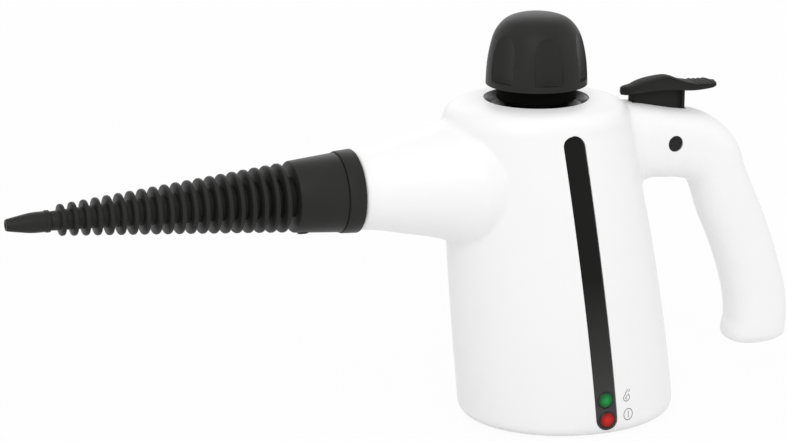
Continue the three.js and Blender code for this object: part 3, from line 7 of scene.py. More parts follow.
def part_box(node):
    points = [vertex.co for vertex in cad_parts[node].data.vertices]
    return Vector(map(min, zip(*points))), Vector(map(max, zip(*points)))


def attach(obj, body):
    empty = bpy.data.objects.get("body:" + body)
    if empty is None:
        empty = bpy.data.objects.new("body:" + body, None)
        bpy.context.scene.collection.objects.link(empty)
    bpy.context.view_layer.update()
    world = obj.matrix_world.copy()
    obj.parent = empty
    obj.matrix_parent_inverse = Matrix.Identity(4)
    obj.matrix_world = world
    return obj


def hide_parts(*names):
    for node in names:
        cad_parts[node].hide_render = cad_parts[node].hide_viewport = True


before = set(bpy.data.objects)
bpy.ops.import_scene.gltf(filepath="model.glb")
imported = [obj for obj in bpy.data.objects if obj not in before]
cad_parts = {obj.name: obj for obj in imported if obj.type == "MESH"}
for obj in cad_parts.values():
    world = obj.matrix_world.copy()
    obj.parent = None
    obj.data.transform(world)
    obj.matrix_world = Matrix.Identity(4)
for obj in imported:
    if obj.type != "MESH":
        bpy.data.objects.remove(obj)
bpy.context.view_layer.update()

# Everything is modelled in millimetres with the filler's axis at X 0,
# and finishPiece() puts it into the frame.
mm = 0.001
plugLow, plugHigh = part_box("cap_plug")
fillerX = (plugLow.x + plugHigh.x) / 2 / mm
toFrame = Matrix.Translation((fillerX * mm, 0, 0)) @ Matrix.Scale(mm, 4)
fullTurn = 2 * pi


# modelling helpers

def deselectAll():
    if bpy.context.object and bpy.context.object.mode != "OBJECT":
        bpy.ops.object.mode_set(mode="OBJECT")
    bpy.ops.object.select_all(action="DESELECT")


def pick(piece):
    deselectAll()
    piece.select_set(True)
    bpy.context.view_layer.objects.active = piece


def applyModifier(piece, kind, **settings):
    pick(piece)
    modifier = piece.modifiers.new(kind.title(), kind)
    for name, value in settings.items():
        setattr(modifier, name, value)
    bpy.ops.object.modifier_apply(modifier=modifier.name)


def combine(piece, tool, operation="DIFFERENCE"):
    applyModifier(piece, "BOOLEAN", object=tool, operation=operation, solver="MANIFOLD")
    bpy.data.objects.remove(tool)
    return piece


def editAll(piece):
    pick(piece)
    bpy.ops.object.mode_set(mode="EDIT")
    bpy.ops.mesh.select_all(action="SELECT")


def tidyMesh(piece, distance=0.002):
    editAll(piece)
    bpy.ops.mesh.remove_doubles(threshold=distance)
    bpy.ops.mesh.delete_loose()
    bpy.ops.mesh.select_all(action="SELECT")
    bpy.ops.mesh.normals_make_consistent()
    bpy.ops.object.mode_set(mode="OBJECT")


def copyPiece(piece, name):
    double = piece.copy()
    double.data = piece.data.copy()
    double.name = name
    bpy.context.collection.objects.link(double)
    return double


def loftPiece(name, rings):
    # a filled circle is laid on the first ring and extruded from ring to ring
    deselectAll()
    bpy.ops.mesh.primitive_circle_add(vertices=len(rings[0]), fill_type="NGON")
    piece = bpy.context.object
    piece.name = name
    order = piece.data.attributes.new("order", "INT", "POINT")
    for i, place in enumerate(rings[0]):
        piece.data.vertices[i].co = place
        order.data[i].value = i
    editAll(piece)
    for ring in rings[1:]:
        bpy.ops.mesh.extrude_region_move()
        mesh = bmesh.from_edit_mesh(piece.data)
        layer = mesh.verts.layers.int["order"]
        for vertex in mesh.verts:
            if vertex.select:
                vertex.co = ring[vertex[layer]]
    bmesh.update_edit_mesh(piece.data)
    bpy.ops.object.mode_set(mode="OBJECT")
    piece.data.attributes.remove(piece.data.attributes["order"])
    tidyMesh(piece)
    return piece


def turnPiece(name, profile, steps=96):
    # a closed outline of (radius, height) spun about Z
    deselectAll()
    bpy.ops.mesh.primitive_circle_add(vertices=len(profile))
    piece = bpy.context.object
    piece.name = name
    for vertex, (radius, height) in zip(piece.data.vertices, profile):
        vertex.co = (radius, 0, height)
    editAll(piece)
    bpy.ops.mesh.spin(steps=steps, angle=fullTurn, axis=(0, 0, 1))
    tidyMesh(piece)
    return piece


def boxTool(low, high):
    deselectAll()
    middle = [(a + b) / 2 for a, b in zip(low, high)]
    size = [b - a for a, b in zip(low, high)]
    bpy.ops.mesh.primitive_cube_add(size=1, location=middle, scale=size)
    bpy.ops.object.transform_apply()
    return bpy.context.object


def rodTool(radius, start, end, sides):
    deselectAll()
    start, end = Vector(start), Vector(end)
    along = end - start
    turn = along.to_track_quat("Z", "Y").to_euler()
    bpy.ops.mesh.primitive_cylinder_add(vertices=sides, radius=radius, depth=along.length,
                                        location=(start + end) / 2, rotation=turn)
    bpy.ops.object.transform_apply()
    return bpy.context.object


def upRod(radius, x, y, low, high, sides=48):
    return rodTool(radius, (x, y, low), (x, y, high), sides)


def crossRod(radius, x, z, near, far, sides=48):
    return rodTool(radius, (x, near, z), (x, far, z), sides)


def moveMesh(piece, matrix):
    piece.data.transform(matrix)
    piece.data.update()
    return piece


def meltEdges(piece, voxel, smoothing):
    # the form is built again from small cubes and smoothed, which rounds its edges
    applyModifier(piece, "REMESH", voxel_size=voxel, use_smooth_shade=True)
    applyModifier(piece, "SMOOTH", iterations=smoothing)


def curvePoints(points, perSpan):
    # centripetal curve through the points, as the part's own lines are
    points = [Vector(p) for p in points]
    ends = [points[0] * 2 - points[1]] + points + [points[-1] * 2 - points[-2]]
    line = []
    for i in range(1, len(ends) - 2):
        p0, p1, p2, p3 = ends[i - 1:i + 3]
        d0, d1, d2 = [max((b - a).length, 1e-4) ** 0.5 for a, b in ((p0, p1), (p1, p2), (p2, p3))]
        t1 = ((p1 - p0) / d0 - (p2 - p0) / (d0 + d1) + (p2 - p1) / d1) * d1
        t2 = ((p2 - p1) / d1 - (p3 - p1) / (d1 + d2) + (p3 - p2) / d2) * d1
        for k in range(perSpan):
            t = k / perSpan
            line.append(p1 + t1 * t + (p1 * -3 + p2 * 3 - t1 * 2 - t2) * t * t
                        + (p1 * 2 - p2 * 2 + t1 + t2) * t ** 3)
    return line + [points[-1]]


def smoothTable(points, perSpan=6):
    return [(p.x, p.y) for p in curvePoints([(a, b, 0) for a, b in points], perSpan)]


def between(first, last, share):
    return first + (last - first) * share


def crowded(way, crowding):
    # moves the even steps from 0 to 1 towards both ends
    return (1 - crowding) * way + crowding * (0.5 - 0.5 * cos(pi * way))


def valueOn(points, x):
    # straight reading of a table of (x, value)
    for (x0, v0), (x1, v1) in zip(points, points[1:]):
        if x <= x1:
            return between(v0, v1, max(0, (x - x0) / (x1 - x0)))
    return points[-1][1]


def dress(piece, material):
    piece.data.materials.clear()
    piece.data.materials.append(material)


def finishPiece(piece, material, nodes=(), angle=32, body="root"):
    moveMesh(piece, toFrame)
    pick(piece)
    bpy.ops.object.shade_smooth_by_angle(angle=radians(angle))
    dress(piece, material)
    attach(piece, body)
    if nodes:
        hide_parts(*nodes)
    return piece


# materials

def toLinear(hexColour):
    parts = [int(hexColour[i:i + 2], 16) / 255 for i in (1, 3, 5)]
    return [c / 12.92 if c <= 0.04045 else ((c + 0.055) / 1.055) ** 2.4 for c in parts] + [1]


def addNode(tree, kind, settings=None, **links):
    # settings are node properties, links are socket names with a value or an output
    node = tree.nodes.new(kind)
    for name, value in (settings or {}).items():
        setattr(node, name, value)
    for name, value in links.items():
        socket = node.inputs[int(name[1:]) if name[0] == "_" else name.replace("_", " ")]
        if isinstance(value, bpy.types.NodeSocket):
            tree.links.new(value, socket)
        else:
            socket.default_value = value
    return node


def partsOf(material):
    return material.node_tree, material.node_tree.nodes["Principled BSDF"]


def newMaterial(name, colour, roughness, metallic=0.0, **sockets):
    material = bpy.data.materials.new(name)
    material.use_nodes = True
    sockets.update(Base_Color=toLinear(colour), Roughness=roughness, Metallic=metallic)
    for socket, value in sockets.items():
        partsOf(material)[1].inputs[socket.replace("_", " ")].default_value = value
    material.diffuse_color = toLinear(colour)
    return material


def mixColours(tree, shader, factor, first, second):
    mix = addNode(tree, "ShaderNodeMix", {"data_type": "RGBA"}, Factor=factor, _6=toLinear(first),
                  _7=toLinear(second))
    tree.links.new(mix.outputs[2], shader.inputs["Base Color"])


def rampColours(tree, shader, factor, stops):
    # a new ramp has two stops, so only the further ones are added
    ramp = addNode(tree, "ShaderNodeValToRGB", Fac=factor)
    elements = ramp.color_ramp.elements
    for stop, (place, colour) in zip(elements, stops):
        stop.position, stop.color = place, toLinear(colour)
    for place, colour in stops[2:]:
        elements.new(place).color = toLinear(colour)
    tree.links.new(ramp.outputs["Color"], shader.inputs["Base Color"])


def grain(material, size, bump, depth, colours=None, roughness=None, patch=40):
    # fine bump of a grain size in millimetres, with a slow drift of colour and gloss over patches
    tree, shader = partsOf(material)
    place = addNode(tree, "ShaderNodeTexCoord").outputs["Object"]
    fine = addNode(tree, "ShaderNodeTexNoise", Vector=place, Scale=1 / (size * mm), Detail=2.0)
    slow = addNode(tree, "ShaderNodeTexNoise", Vector=place, Scale=1 / (patch * mm), Detail=3.0)
    lift = addNode(tree, "ShaderNodeBump", Height=fine.outputs["Fac"], Strength=bump, Distance=depth * mm)
    tree.links.new(lift.outputs["Normal"], shader.inputs["Normal"])
    if colours:
        mixColours(tree, shader, slow.outputs["Fac"], *colours)
    if roughness:
        spread = addNode(tree, "ShaderNodeMapRange", Value=slow.outputs["Fac"], To_Min=roughness[0],
                         To_Max=roughness[1])
        tree.links.new(spread.outputs["Result"], shader.inputs["Roughness"])
    return fine


def fadeUp(material, low, high, foot, top):
    # the foot's colour below one height in millimetres, the top's above the other; used here for painted
    # shade, painted light and painted reflection
    tree, shader = partsOf(material)
    place = addNode(tree, "ShaderNodeTexCoord").outputs["Object"]
    height = addNode(tree, "ShaderNodeSeparateXYZ", Vector=place).outputs["Z"]
    way = addNode(tree, "ShaderNodeMapRange", Value=height, From_Min=low * mm, From_Max=high * mm)
    mixColours(tree, shader, way.outputs["Result"], foot, top)


print("materials")

# moulded white ABS, spark-eroded satin: bright, with a soft broad sheen and a very fine grain
whiteAbs = newMaterial("mouldedWhiteAbs", "#f2f2f2", 0.4, IOR=1.53)
grain(whiteAbs, 0.9, 0.12, 0.02, ("#f3f3f3", "#f0f0f0"), (0.36, 0.46), 60)

# moulded black PP, fine texture: charcoal in the light, soft highlights
blackPlastic = newMaterial("mouldedBlackPolypropylene", "#292928", 0.38, IOR=1.49, Specular_IOR_Level=0.1)
grain(blackPlastic, 0.7, 0.18, 0.02, ("#262625", "#2c2c2b"), (0.34, 0.44), 35)

# polished black ABS: near black with sharp reflections
glossBlack = newMaterial("polishedBlackAbs", "#121211", 0.2, IOR=1.53)
grain(glossBlack, 2.5, 0.05, 0.01, ("#111110", "#151514"), (0.17, 0.24), 20)

# black inlay of the side, half gloss: near black above, where it mirrors nothing, and painted dark grey
# towards its foot as a painted reflection
inlayBlackPaintedReflection = newMaterial("halfGlossBlackAbsPaintedReflection", "#0e0e0d", 0.3, IOR=1.53, Specular_IOR_Level=0.08)
grain(inlayBlackPaintedReflection, 2.0, 0.05, 0.01, None, (0.26, 0.34), 20)
# painted reflection: the inlay is lighter towards its foot
fadeUp(inlayBlackPaintedReflection, 15, 95, "#40403f", "#161615")

# black inlay of the filler dish, half gloss, with painted shade and painted light: its floor painted near
# black as the cap's shade, its wall painted dark grey as painted light
dishPaintedShadeAndLight = newMaterial("halfGlossBlackDishPaintedShadeAndLight", "#121211", 0.22, IOR=1.53, Specular_IOR_Level=0.4)
grain(dishPaintedShadeAndLight, 2.0, 0.05, 0.01, None, (0.2, 0.28), 20)
# painted shade on the floor below, painted light on the wall above
fadeUp(dishPaintedShadeAndLight, 186.0, 186.5, "#040404", "#424241")

# black PP of the plug and neck under the cap, painted near black as painted shade: dull, it takes hardly any
# light
paintedShadeBlack = newMaterial("paintedShadeBlackPolypropylene", "#0b0b0a", 0.75, IOR=1.49, Specular_IOR_Level=0.04)
grain(paintedShadeBlack, 0.8, 0.15, 0.02, ("#0a0a09", "#0d0d0c"), (0.7, 0.8), 25)

# fine-grained black ABS of the paddle: duller than the polypropylene round it
leverBlack = newMaterial("fineGrainBlackAbs", "#262625", 0.55, IOR=1.53, Specular_IOR_Level=0.05)
grain(leverBlack, 0.5, 0.3, 0.03, ("#232322", "#2a2a29"), (0.5, 0.6), 20)

# black ABS with an eroded, sparkling grain on the bolt's ends
speckledBlack = newMaterial("erodedBlackAbs", "#1d1d1d", 0.5, IOR=1.53, Specular_IOR_Level=0.08)
fine = grain(speckledBlack, 0.5, 0.5, 0.05)
rampColours(*partsOf(speckledBlack), fine.outputs["Fac"], [(0.45, "#1f1f1f"), (0.75, "#3e3e3e")])

# moulded black rubber: dull, barely any highlight
rubber = newMaterial("mouldedBlackRubber", "#1b1b1b", 0.72, IOR=1.5)
grain(rubber, 0.6, 0.3, 0.03, ("#1a1a1a", "#202020"), (0.65, 0.8), 12)

# red silicone: waxy, slightly translucent look
silicone = newMaterial("mouldedRedSilicone", "#a8351f", 0.5, IOR=1.41)
grain(silicone, 0.8, 0.15, 0.02, ("#a33420", "#b23b25"), (0.45, 0.58), 10)

# die-cast aluminium: grey, pebbled skin
aluminium = newMaterial("dieCastAluminium", "#b4b6b9", 0.45, 1.0)
grain(aluminium, 0.8, 0.35, 0.05, ("#abadb0", "#bcbec0"), (0.38, 0.55), 25)

# turned brass: warm, with rings from the tool too fine to see one by one, so drawn coarser
brass = newMaterial("turnedBrass", "#c9a65a", 0.28, 1.0)
grain(brass, 0.5, 0.15, 0.02, ("#c4a055", "#d0ae66"), (0.22, 0.34), 12)

# zinc-plated steel: cool grey, half gloss
zincSteel = newMaterial("zincPlatedSteel", "#b9bcc0", 0.3, 1.0)
grain(zincSteel, 0.4, 0.12, 0.02, ("#b2b5b9", "#c2c4c8"), (0.24, 0.38), 8)

# extruded heat-proof hose: ivory, waxy
hose = newMaterial("extrudedSiliconeHose", "#ddd8c6", 0.45, IOR=1.41)
grain(hose, 1.0, 0.12, 0.03, ("#d9d4c1", "#e2ddcd"), (0.4, 0.5), 15)

# glass-epoxy board with its woven cloth showing through
boardGreen = newMaterial("glassEpoxyBoard", "#1f5a33", 0.35, IOR=1.55)
grain(boardGreen, 1.2, 0.2, 0.02, ("#1c5530", "#24633a"), (0.3, 0.4), 6)

# moulded nylon: ivory, dull
nylon = newMaterial("mouldedNylon", "#d8d4c5", 0.5, IOR=1.53)
grain(nylon, 0.8, 0.15, 0.02, ("#d4d0c0", "#dcd9cb"), (0.45, 0.56), 10)

# pad-printed grey ink: flat and dull
greyInk = newMaterial("padPrintedGreyInk", "#44474a", 0.6, IOR=1.5)
grain(greyInk, 0.4, 0.1, 0.01, ("#404346", "#4a4d50"), (0.55, 0.65), 5)


def lensMaterial(name, middle, deep, edge, glow):
    # clear tinted polycarbonate dome, drawn opaque: painted light through the dome, bright in the middle,
    # darker where the wall is thick
    material = newMaterial(name, deep, 0.12, IOR=1.58, Specular_IOR_Level=0.15)
    tree, shader = partsOf(material)
    place = addNode(tree, "ShaderNodeTexCoord").outputs["Object"]
    across, along = lamps["radius"] * mm, lamps["glowDepth"] * mm
    centre = addNode(tree, "ShaderNodeMapping", {"vector_type": "TEXTURE"}, Vector=place,
                     Location=glow, Scale=(across, along, across))
    ball = addNode(tree, "ShaderNodeTexGradient", {"gradient_type": "SPHERICAL"},
                   Vector=centre.outputs["Vector"])
    # painted light: a bright middle fading to a dark rim
    rampColours(tree, shader, ball.outputs["Fac"], [(0.0, edge), (0.85, middle), (0.35, deep)])
    return material


# camera, light and floor

print("camera and light")
view = {"place": (-0.63115, -1.37111, 0.53068), "target": (-0.08774, 0, 0.12554), "lens": 123.507}
place, target = (Vector((fillerX * mm + x, y, z)) for x, y, z in (view["place"], view["target"]))
bpy.ops.object.camera_add(location=place)
camera = bpy.context.object
camera.rotation_euler = (target - camera.location).to_track_quat("-Z", "Y").to_euler()
camera.data.sensor_fit = "HORIZONTAL"
camera.data.sensor_width = 36
camera.data.lens = view["lens"]
camera.data.clip_end = 50
bpy.context.scene.camera = camera
bpy.context.scene.view_settings.view_transform = "Standard"

lightSet = {  # place, size in metres, watts
    "softboxFront": ((-0.9, -1.6, 1.5), 1.6, 15.6), "softboxTop": ((0.1, -0.1, 2.1), 1.8, 2.5),
    "softboxRight": ((1.7, -1.0, 0.9), 1.2, 3), "softboxBack": ((0.5, 1.9, 1.2), 1.6, 6),
}
for name, (place, size, watts) in lightSet.items():
    bpy.ops.object.light_add(type="AREA", location=place)
    lamp = bpy.context.object
    lamp.name = name
    lamp.data.size = size
    lamp.data.energy = watts
    aim = Vector((0, 0, 0.1)) - lamp.location
    lamp.rotation_euler = aim.to_track_quat("-Z", "Y").to_euler()


def seenRays(tree):
    # 1 for what the camera sees, directly, in a reflection or through a clear piece
    rays = addNode(tree, "ShaderNodeLightPath").outputs
    seen = rays["Is Camera Ray"]
    for kind in ("Is Transmission Ray", "Is Glossy Ray"):
        larger = addNode(tree, "ShaderNodeMath", {"operation": "MAXIMUM"}, _0=seen, _1=rays[kind])
        seen = larger.outputs["Value"]
    return seen


studio = {
    "light": 0.79, "white": 1.0,  # strength of the world on the object, and as it is seen
    "floorSize": 12, "paper": "#e9e9e9", "paperRoughness": 0.9,
    "glow": 0.93,  # share of plain white in the floor as it is seen
}
world = bpy.data.worlds.new("whiteStudio")
bpy.context.scene.world = world
world.use_nodes = True
tree = world.node_tree
strength = addNode(tree, "ShaderNodeMapRange", Value=seenRays(tree), To_Min=studio["light"],
                   To_Max=studio["white"])
backdrop = tree.nodes["Background"]
backdrop.inputs["Color"].default_value = (1, 1, 1, 1)
tree.links.new(strength.outputs["Result"], backdrop.inputs["Strength"])

bpy.ops.mesh.primitive_plane_add(size=studio["floorSize"])
floor = bpy.context.object
floor.name = "studioFloor"
paper = newMaterial("whiteBackgroundPaper", studio["paper"], studio["paperRoughness"])
tree, sheet = partsOf(paper)
glow = addNode(tree, "ShaderNodeEmission", Color=(1, 1, 1, 1), Strength=1.0)
share = addNode(tree, "ShaderNodeMath", {"operation": "MULTIPLY"}, _0=seenRays(tree), _1=studio["glow"])
both = addNode(tree, "ShaderNodeMixShader", _0=share.outputs["Value"], _1=sheet.outputs["BSDF"],
               _2=glow.outputs["Emission"])
tree.links.new(both.outputs["Shader"], tree.nodes["Material Output"].inputs["Surface"])
floor.data.materials.append(paper)


# body, spout and handle

print("housing")
body = {
    "underside": 0.6, "halfLength": 64.5, "halfWidth": 57.3, "taper": 9.8, "taperPower": 1.9,
    "lean": 21.7, "leanPower": 1.12, "edgeRadius": 6.5, "shoulderFoot": 175.0, "rimHeight": 189.9,
    "rimRadius": 31.6, "openingRadius": 30.2, "openingFoot": 166.9, "above": 200, "wall": 2.5,
    "sides": 200, "levels": 48, "voxel": 1.1, "smoothing": 9,
    "hollowEnd": 0.12,  # share of the shoulder's spread at which the hollow closes
    "seam": 0.06,  # each shell stops this far from the middle plane
}
# fillets of the handle: start in X, reach over Y, heights, spread, and the grip's inner bend
joint = {"start": 35, "reach": 26, "low": 122, "fade": 166, "high": 182, "spread": 14, "blend": 5,
         "bend": (95.5, 134.5), "bendSpread": 15, "bendBlend": 6, "smoothing": 150}
shoulderLine = smoothTable([(0, 1), (0.25, 0.993), (0.45, 0.96), (0.64, 0.89), (0.82, 0.75), (0.95, 0.45),
                            (1, 0)])
spout = {
    "height": 145.4, "end": 112.2, "root": 46.0, "endRadius": 22.1, "rootRadius": 38.5, "insideEnd": 22.0,
}
spoutLine = smoothTable([(0, 0), (0.2, 0.1), (0.45, 0.32), (0.68, 0.52), (0.86, 0.76), (1, 1)], 8)
handle = {"reach": 148.0, "top": 157.0, "halfWidth": 18.6, "halfThickness": 16.5, "squareness": 2.6}
handleLine = [
    (0.27, 1.014), (0.41, 1.012), (0.54, 1.0015), (0.669, 0.978), (0.754, 0.927), (0.799, 0.841),
    (0.845, 0.736), (0.896, 0.629), (0.952, 0.485), (0.987, 0.361), (0.9935, 0.267), (0.985, 0.21),
    (0.985, 0.186), (0.985, 0.176),
]
handleSize = [
    (1.34, 1.1), (1.28, 1.06), (1.14, 1.0), (1.12, 1.0), (1.0, 1.0), (0.9, 1.0), (0.95, 0.98),
    (0.95, 0.97), (0.95, 0.97), (0.98, 0.98), (0.98, 1.0), (1.02, 0.95), (0.8, 0.74), (0.5, 0.44),
]
# screws between the shells, X and Z
shellScrews = {
    "front_low": (-31, 17.5), "rear_low": (72, 22), "rear_top": (46, 132), "grip_top": (112, 147),
    "grip_low": (146, 52),
}


def bodyShare(z):
    return min(max((z - body["underside"]) / (body["shoulderFoot"] - body["underside"]), 0), 1)


def bodyMiddle(z):
    return body["lean"] * (1 - bodyShare(z) ** body["leanPower"])


def bodyHalf(z):
    length = body["halfLength"] - body["taper"] * bodyShare(z) ** body["taperPower"]
    width = length * (body["halfWidth"] / body["halfLength"])
    if z > body["shoulderFoot"]:
        up = (z - body["shoulderFoot"]) / (body["rimHeight"] - body["shoulderFoot"])
        rim, spread = body["rimRadius"], valueOn(shoulderLine, up)
        length, width = between(rim, length, spread), between(rim, width, spread)
    return length, width


def ellipse(z, length, width, middle, sides):
    return [(middle + length * cos(fullTurn * i / sides), width * sin(fullTurn * i / sides), z)
            for i in range(sides)]


def bodyForm(name, inset=0.0, sides=body["sides"], low=None):
    # from the rounded lower edge, or from a plain one at height low, up to the rim
    rings = []
    edge, foot = body["edgeRadius"], body["shoulderFoot"]

    def addRing(z, pull, drop=0.0):
        length, width = bodyHalf(z)
        rings.append(ellipse(z - drop, length - pull, width - pull, bodyMiddle(z), sides))

    if low is None:
        for angle in (pi / 2 * i / 8 for i in range(9)):
            addRing(body["underside"] + edge * (1 - cos(angle)), edge * (1 - sin(angle)) + inset)
        z = body["underside"] + edge
    else:
        addRing(low, edge * 0.6 + inset)
        z = body["underside"] + edge + body["wall"]
        addRing(z, inset)
    for i in range(body["levels"]):
        addRing(z + (foot - inset - z) * (i + 1) / body["levels"], inset)
    for up, spread in shoulderLine:
        if up > 0 and (inset == 0 or spread > body["hollowEnd"]):
            addRing(between(foot, body["rimHeight"], up), inset, inset)
    return loftPiece(name, rings)


def alongSpout(piece):
    return moveMesh(piece, Matrix.Translation((0, 0, spout["height"])) @ Matrix.Rotation(-pi / 2, 4, "Y"))


def spoutForm(name, inset=0.0):
    front = spout["end"] + (1 if inset else 0)
    profile = [(0, front)]
    for away, share in spoutLine:
        radius = between(spout["endRadius"], spout["rootRadius"], share) - inset
        profile.append((radius, between(spout["end"], spout["root"], away) if away else front))
    profile += [(spout["rootRadius"] - inset, spout["insideEnd"]), (0, spout["insideEnd"])]
    return alongSpout(turnPiece(name, profile, 144))


def handleForm(name, inset=0.0, sectionsOff=0, sides=72):
    places = [(x * handle["reach"], 0, z * handle["top"]) for x, z in handleLine]
    sizes = [(a * handle["halfWidth"], b * handle["halfThickness"], 0) for a, b in handleSize]
    perSpan = 9
    line, size = curvePoints(places, perSpan), curvePoints(sizes, perSpan)
    last = len(line) - sectionsOff * perSpan
    power = 2 / handle["squareness"]
    rings = []
    for i in range(last):
        along = (line[min(i + 1, len(line) - 1)] - line[max(i - 1, 0)]).normalized()
        across = Vector((-along.z, 0, along.x))
        ring = []
        for angle in (fullTurn * k / sides for k in range(sides)):
            c, s = (copysign(abs(part) ** power, part) for part in (cos(angle), sin(angle)))
            point = line[i] + across * (c * (size[i].x - inset))
            point.y = s * (size[i].y - inset)
            ring.append(point)
        rings.append(ring)
    return loftPiece(name, rings)


# X and Z of the trigger's hinge and of the lock bolt, and radii of their bores
grip = {"hinge": (63.4, 173.5), "pinSeat": 2.1, "pinBore": 2.05, "bolt": (82, 158.6), "boltBore": 4.75}
screwHole = {"bore": 1.8, "well": 3.8}
# bosses of the shell screws, posts of the base plate, arms to the boiler and its room
inner = {
    "bossRadius": 4.6, "postRadius": 4.4, "postFoot": 4, "postTop": 19.7,
    "armLow": (34.3, -4, 69.7), "armHigh": (129, 4, 79.7), "armTurns": (0.09, 0.41, 0.59, 0.91),
    # on both sides, X from and to, Z from and to, Y from
    "brackets": ((41, 50, 151.5, 160.5, 7.8), (59.08, 67.72, 169.18, 177.82, 4.9), (65, 77, 146.6, 149, 0)),
    "boilerRoom": (34.3, 0, 0, 25, 187.6),
}


def innerWorks():
    wide = body["halfWidth"]
    tools = [crossRod(inner["bossRadius"], x, z, -wide, wide) for x, z in shellScrews.values()]
    tools += [upRod(inner["postRadius"], x, y, inner["postFoot"], inner["postTop"]) for x, y in basePosts]
    for turn in inner["armTurns"]:
        arm = boxTool(inner["armLow"], inner["armHigh"])
        tools.append(moveMesh(arm, Matrix.Rotation(turn * fullTurn, 4, "Z")))
    for side in (-1, 1):
        for left, right, low, high, reach in inner["brackets"]:
            near, far = sorted((side * reach, side * wide))
            tools.append(boxTool((left, near, low), (right, far, high)))
    piece = tools.pop(0)
    for tool in tools:
        combine(piece, tool, "UNION")
    return combine(piece, upRod(*inner["boilerRoom"], 96))


base = {"halfLength": 57.7, "halfWidth": 50.5, "middle": bodyMiddle(body["underside"]), "low": 1.2,
        "high": 3.7, "gap": 0.25, "postInset": 3.08, "footInset": 12, "headSeat": 3.3, "footSeat": 6.3,
        "round": 0.25}


def plateRing(z, gap=0.0):
    return ellipse(z, base["halfLength"] + gap, base["halfWidth"] + gap, base["middle"], 144)


def basePlace(turn, inset):
    return (base["middle"] + (base["halfLength"] - inset) * cos(turn * fullTurn),
            (base["halfWidth"] - inset) * sin(turn * fullTurn))


basePosts = [basePlace(turn, base["postInset"]) for turn in (0.13, 0.37, 0.63, 0.87)]
footPlaces = [basePlace(turn, base["footInset"]) for turn in (0.1, 0.4, 0.6, 0.9)]

# stripe on the near side with its two lamps, and the room behind them for their board
stripe = {"halfWidth": 6.45, "shiftLow": 0.45, "shiftHigh": 1.2, "low": 4.2, "high": 177.4,
          "thickness": 1.4, "round": 0.55, "crowding": 0.65}
lamps = {"radius": 4.9, "lensRadius": 4.5, "depth": 5.0, "green": 22.6, "red": 10.6, "glowDepth": 10,
         "holeReach": (7.5, 3), "room": {"half": 6.8, "near": 2.5, "far": 15, "low": 3.7, "high": 52}}


def stripeMiddle(z):
    share = (z - stripe["low"]) / (stripe["high"] - stripe["low"])
    return bodyMiddle(z) + between(stripe["shiftLow"], stripe["shiftHigh"], share)


def stripeSolid(name, margin, inset, thickness, edgeRound, columns, rows, offset=-1):
    # a grid laid on the body inside the stripe's round-ended outline, then given its thickness
    half = stripe["halfWidth"] + margin
    low, high = stripe["low"] - margin, stripe["high"] + margin
    deselectAll()
    bpy.ops.mesh.primitive_grid_add(x_subdivisions=columns, y_subdivisions=rows, size=2)
    piece = bpy.context.object
    piece.name = name
    for vertex in piece.data.vertices:
        u, v = vertex.co.xy
        # rows lie closer together at the round ends, columns closer at the edges
        z = between(low, high, crowded((v + 1) / 2, stripe["crowding"]))
        tip = min(z - low, high - z)
        reach = half if tip >= half else sqrt(max(half * half - (half - tip) ** 2, 1e-4))
        across = reach * sin(pi / 2 * u)
        nearest = min(max(z, low + half), high - half)
        rim = half - hypot(across, z - nearest)
        drop = edgeRound - sqrt(edgeRound ** 2 - max(edgeRound - max(rim, 0), 0) ** 2)
        length, width = bodyHalf(z)
        x = stripeMiddle(z) + across
        share = (x - bodyMiddle(z)) / (length - inset)
        vertex.co = (x, -(width - inset - drop) * sqrt(1 - share * share), z)
    editAll(piece)
    bpy.ops.mesh.normals_make_consistent()
    bpy.ops.object.mode_set(mode="OBJECT")
    if sum(face.normal.y * face.area for face in piece.data.polygons) > 0:
        piece.data.flip_normals()
    applyModifier(piece, "SOLIDIFY", thickness=thickness, offset=offset)
    tidyMesh(piece, 0.0005)
    return piece


def lampPlace(height):
    return Vector((stripeMiddle(height), -bodyHalf(height)[1], height))


def atLamp(piece, height):
    return moveMesh(piece, Matrix.Translation(lampPlace(height)) @ Matrix.Rotation(pi / 2, 4, "X"))


def lampHole(height, gap):
    x, y, z = lampPlace(height)
    inward, outward = lamps["holeReach"]
    return crossRod(lamps["radius"] + gap, x, z, y + inward, y - outward, 64)


# mains inlet, low on the far rear side
inlet = {"turn": 0.12, "height": 30.0, "radius": 6.5, "lip": 1.6, "lipRadius": 8.0, "bore": 3.6,
         "depth": 10.0}


def atInlet(piece):
    angle, z = inlet["turn"] * fullTurn, inlet["height"]
    length, width = bodyHalf(z)
    place = (bodyMiddle(z) + length * cos(angle), width * sin(angle), z)
    outward = atan2(sin(angle) / width, cos(angle) / length)
    turn = Matrix.Rotation(outward, 4, "Z") @ Matrix.Rotation(pi / 2, 4, "Y")
    return moveMesh(piece, Matrix.Translation(place) @ turn)


def softenJoint(piece):
    # the handle runs into the body with a soft fillet, and so does its inner bend
    group = piece.vertex_groups.new(name="joint")
    for vertex in piece.data.vertices:
        x, y, z = vertex.co
        if x < joint["start"] or abs(y) > joint["reach"] or not joint["low"] < z < joint["high"]:
            continue
        length, width = bodyHalf(min(z, body["shoulderFoot"]))
        away = (hypot((x - bodyMiddle(z)) / length, y / width) - 1) * length
        fade = (joint["high"] - z) / (joint["high"] - joint["fade"])
        atJoint = min((joint["spread"] - away) / joint["blend"], fade)
        fromBend = hypot(x - joint["bend"][0], z - joint["bend"][1])
        atBend = (joint["bendSpread"] - fromBend) / joint["bendBlend"]
        share = min(max(atJoint, atBend, 0), 1)
        if share > 0:
            group.add([vertex.index], share, "REPLACE")
    applyModifier(piece, "SMOOTH", iterations=joint["smoothing"], vertex_group="joint")


outside = bodyForm("housing")
combine(outside, spoutForm("spoutForm"), "UNION")
combine(outside, handleForm("handleForm"), "UNION")
meltEdges(outside, body["voxel"], body["smoothing"])
softenJoint(outside)
skin = copyPiece(outside, "skin")

